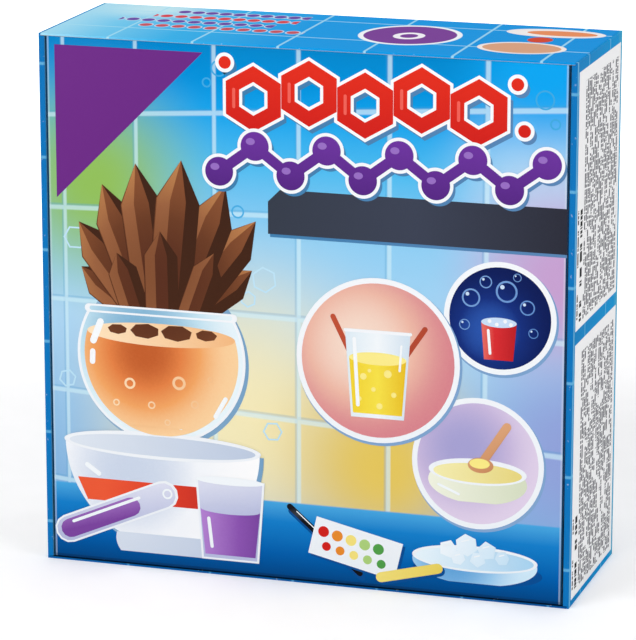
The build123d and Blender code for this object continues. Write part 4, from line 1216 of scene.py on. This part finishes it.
def lathe(bm, profile, origin, axis, steps=96):
    """Turn a closed profile of (radius, distance) in mm about an axis through a point."""
    along = Vector(axis)
    side = along.orthogonal().normalized()
    start = Vector(origin) * MM
    verts = [bm.verts.new(start + (side * r + along * h) * MM) for r, h in profile]
    edges = [bm.edges.new((verts[n - 1], verts[n])) for n in range(len(verts))]
    axial = [e for e, n in zip(edges, range(len(verts))) if profile[n - 1][0] == 0 and profile[n][0] == 0]
    keep = [e for e in edges if e not in axial]
    bmesh.ops.spin(
        bm, geom=verts + keep, cent=start, axis=along, angle=2 * math.pi, steps=steps,
        use_merge=True,
    )
    bmesh.ops.delete(bm, geom=axial, context="EDGES_FACES")
    bmesh.ops.remove_doubles(bm, verts=bm.verts, dist=0.002 * MM)


def turned(name, profile, origin, axis, body, material, steps=96, sharp=35):
    bm = bmesh.new()
    lathe(bm, profile, origin, axis, steps)
    return finished(name, bm, body, [material], sharp=sharp)


def middle_of(node_name):
    low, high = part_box(node_name)
    return [(a + b) / 2 / MM for a, b in zip(low, high)]


TUBE_R, TUBE_WALL, TUBE_END = 8.0, 1.0, 10
PLUG_R, PLUG_LONG, HEAD_R, NECK_R, DISH_R = 6.95, 12.05, 9.2, 8.6, 6.2
for n in (1, 2):
    node_name = f"test_tube_{n}"
    low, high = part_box(node_name)
    length = (high[0] - low[0]) / MM
    _, y, z = middle_of(node_name)
    arc = [math.pi / 2 * step / TUBE_END for step in range(TUBE_END + 1)]
    outer = [(TUBE_R * math.sin(a), TUBE_R - TUBE_R * math.cos(a)) for a in arc]
    bore = TUBE_R - TUBE_WALL
    inner = [(bore * math.sin(a), TUBE_R - bore * math.cos(a)) for a in reversed(arc)]
    inner[-1] = (0, TUBE_WALL)
    rim = softened([outer[-1], (TUBE_R, length), (bore, length), inner[0]], {1: 0.4, 2: 0.4})
    marks = graduations("X", "Z", "Y", low[0] / MM + 22, 3.5, 20, z, 5.0, y)
    tube = turned(
        f"round_tube_{n}", outer + rim[1:-1] + inner, (low[0] / MM, y, z), (1, 0, 0), "case",
        clear_plastic(f"clear_tube_{n}", marks), sharp=60,
    )
    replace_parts(tube, node_name)

    stopper_name = f"tube_stopper_{n}"
    (x0, _, _), (x1, _, _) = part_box(stopper_name)
    long = (x1 - x0) / MM
    profile = softened([
        (0, 0), (PLUG_R, 0), (PLUG_R, PLUG_LONG), (HEAD_R, PLUG_LONG), (HEAD_R, long - 3.4),
        (NECK_R, long - 3.0), (NECK_R, long - 2.4), (HEAD_R, long - 2.0), (HEAD_R, long),
        (DISH_R, long), (DISH_R - 0.6, long - 1.2), (0, long - 1.2),
    ], {1: 0.8, 3: 0.4, 8: 0.9, 9: 0.4, 10: 0.4})
    rubber = solid_plastic(f"stopper_rubber_{n}", ("#bf1f2b", "#a81722"), 0.6, 0.25, bump=0.5)
    stopper = turned(
        f"soft_stopper_{n}", profile, (x0 / MM, y, z), (1, 0, 0), f"stopper_{n}",
        rubber,
    )
    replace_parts(stopper, stopper_name)

BEAKER_R, BEAKER_BORE, LIP_R, LIP, FLOOR = 21, 19.8, 22.5, 1.5, 1.2
x, y, z = middle_of("beaker")
low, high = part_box("beaker")
base, tall = high[1] / MM, (high[1] - low[1]) / MM
profile = softened([
    (0, 0), (BEAKER_R, 0), (BEAKER_R, tall - LIP), (LIP_R, tall - LIP), (LIP_R, tall),
    (BEAKER_BORE, tall), (BEAKER_BORE, FLOOR), (0, FLOOR),
], {1: 1.6, 2: 0.3, 3: 0.5, 4: 0.5, 5: 0.4, 6: 1.4})
marks = graduations("Y", "X", "Z", base - tall + 12, 4.0, 10, x, 12.0, z)
beaker = turned(
    "clear_beaker", profile, (x, base, z), (0, -1, 0), "case",
    clear_plastic("clear_beaker_plastic", marks), steps=128,
)
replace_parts(beaker, "beaker")

JAR_R, JAR_BORE = 13.5, 12.3
CAP_PLUG_R, CAP_PLUG, CAP_R, CAP_HIGH, CAP_DISH = 12.25, 4.05, 14.5, 7.05, 0.5
RIBS, RIB, RIB_FROM = 60, 0.35, 13.6
cap_colours = [("#f08a2a", "#e57a1c"), ("#3f9b4a", "#348a40"), ("#2b6fb5", "#215fa3")]
for n in (1, 2, 3):
    node_name = f"powder_jar_{n}"
    x, y, z = middle_of(node_name)
    low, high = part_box(node_name)
    tall = (high[1] - low[1]) / MM
    profile = softened([
        (0, 0), (JAR_R, 0), (JAR_R, tall), (JAR_BORE, tall), (JAR_BORE, FLOOR), (0, FLOOR),
    ], {1: 1.2, 2: 0.4, 3: 0.4, 4: 1.0})
    jar = turned(
        f"clear_jar_{n}", profile, (x, high[1] / MM, z), (0, -1, 0), "case",
        clear_plastic(f"clear_jar_plastic_{n}", through=0.8),
    )
    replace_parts(jar, node_name)

    cap_name = f"jar_cap_{n}"
    low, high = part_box(cap_name)
    profile = softened([
        (0, 0), (CAP_PLUG_R, 0), (CAP_PLUG_R, CAP_PLUG), (CAP_R, CAP_PLUG), (CAP_R, CAP_HIGH),
        (11.4, CAP_HIGH), (11.0, CAP_HIGH - CAP_DISH), (0, CAP_HIGH - CAP_DISH),
    ], {1: 0.4, 3: 0.3, 4: 0.6, 5: 0.3})
    bm = bmesh.new()
    lathe(bm, profile, (x, high[1] / MM, z), (0, -1, 0), steps=2 * RIBS)
    for vert in bm.verts:
        arm = Vector((vert.co.x - x * MM, 0, vert.co.z - z * MM))
        turn = math.degrees(math.atan2(arm.z, arm.x)) * RIBS / 360
        if arm.length > RIB_FROM * MM and round(2 * turn) % 2:
            vert.co -= arm.normalized() * RIB * MM
    colours = cap_colours[n - 1]
    cap = finished(
        f"ribbed_cap_{n}", bm, f"cap_{n}", [solid_plastic(f"cap_plastic_{n}", colours)],
        sharp=30,
    )
    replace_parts(cap, cap_name)


# ---- Syringe: clear barrel with marks, blue plunger and black rubber seal ----
# The plunger slides in the barrel with the seal seated on its collar.
_, y, z = middle_of("syringe_barrel")
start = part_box("syringe_barrel")[0][0] / MM + 14
marks = graduations("X", "Z", "Y", start, 3.2, 16, z, 4.4, y)
polish("syringe_barrel", clear_plastic("clear_barrel_plastic", marks))
polish("syringe_plunger", solid_plastic("plunger_plastic", ("#2f86c4", "#2476b4"), 0.32))
polish("plunger_seal", solid_plastic(
    "seal_rubber", ("#1b1c1f", "#131416"), 0.55, lines=("X", 2.6, -200, 200)
))


# ---- Tools: tweezers, magnifier, spoon and pipette ----
# Black tweezers with grip ridges, a violet magnifier with a plano-convex lens, a white
# double-ended spoon and a pipette of natural polyethylene.
tweezers = solid_plastic(
    "black_tweezers_plastic", ("#2a2b2f", "#1d1e21"), 0.42, lines=("X", 1.5, -80, -45), bump=0.4
)
for node_name in ("tweezers_heel", "tweezers_upper_arm", "tweezers_lower_arm"):
    polish(node_name, tweezers)
polish("magnifier_frame", solid_plastic(
    "violet_magnifier_plastic", ("#7d3f9c", "#6f3390"), 0.3, lines=("X", 3.0, -40, -8), bump=0.4
))
lens_x, _, lens_z = middle_of("magnifier_lens")
low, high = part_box("magnifier_lens")
LENS_EDGE = 1.8
radius, thick = (high[0] - low[0]) / 2 / MM, (high[1] - low[1]) / MM
crown = [
    (
        radius * math.cos(math.pi / 2 * n / 12),
        LENS_EDGE + (thick - LENS_EDGE) * math.sin(math.pi / 2 * n / 12),
    )
    for n in range(12)
]
lens = turned(
    "clear_lens", [(0, 0), (radius, 0), *crown, (0, thick)], (lens_x, high[1] / MM, lens_z),
    (0, -1, 0), "case", clear_plastic("clear_acrylic"),
)
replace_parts(lens, "magnifier_lens")
polish("measuring_spoon", solid_plastic("white_spoon_plastic", ("#eff0f0", "#e6e7e8"), 0.33))
polish("pipette", solid_plastic("natural_polyethylene", ("#e9ecea", "#dfe4e2"), 0.38, through=0.2))
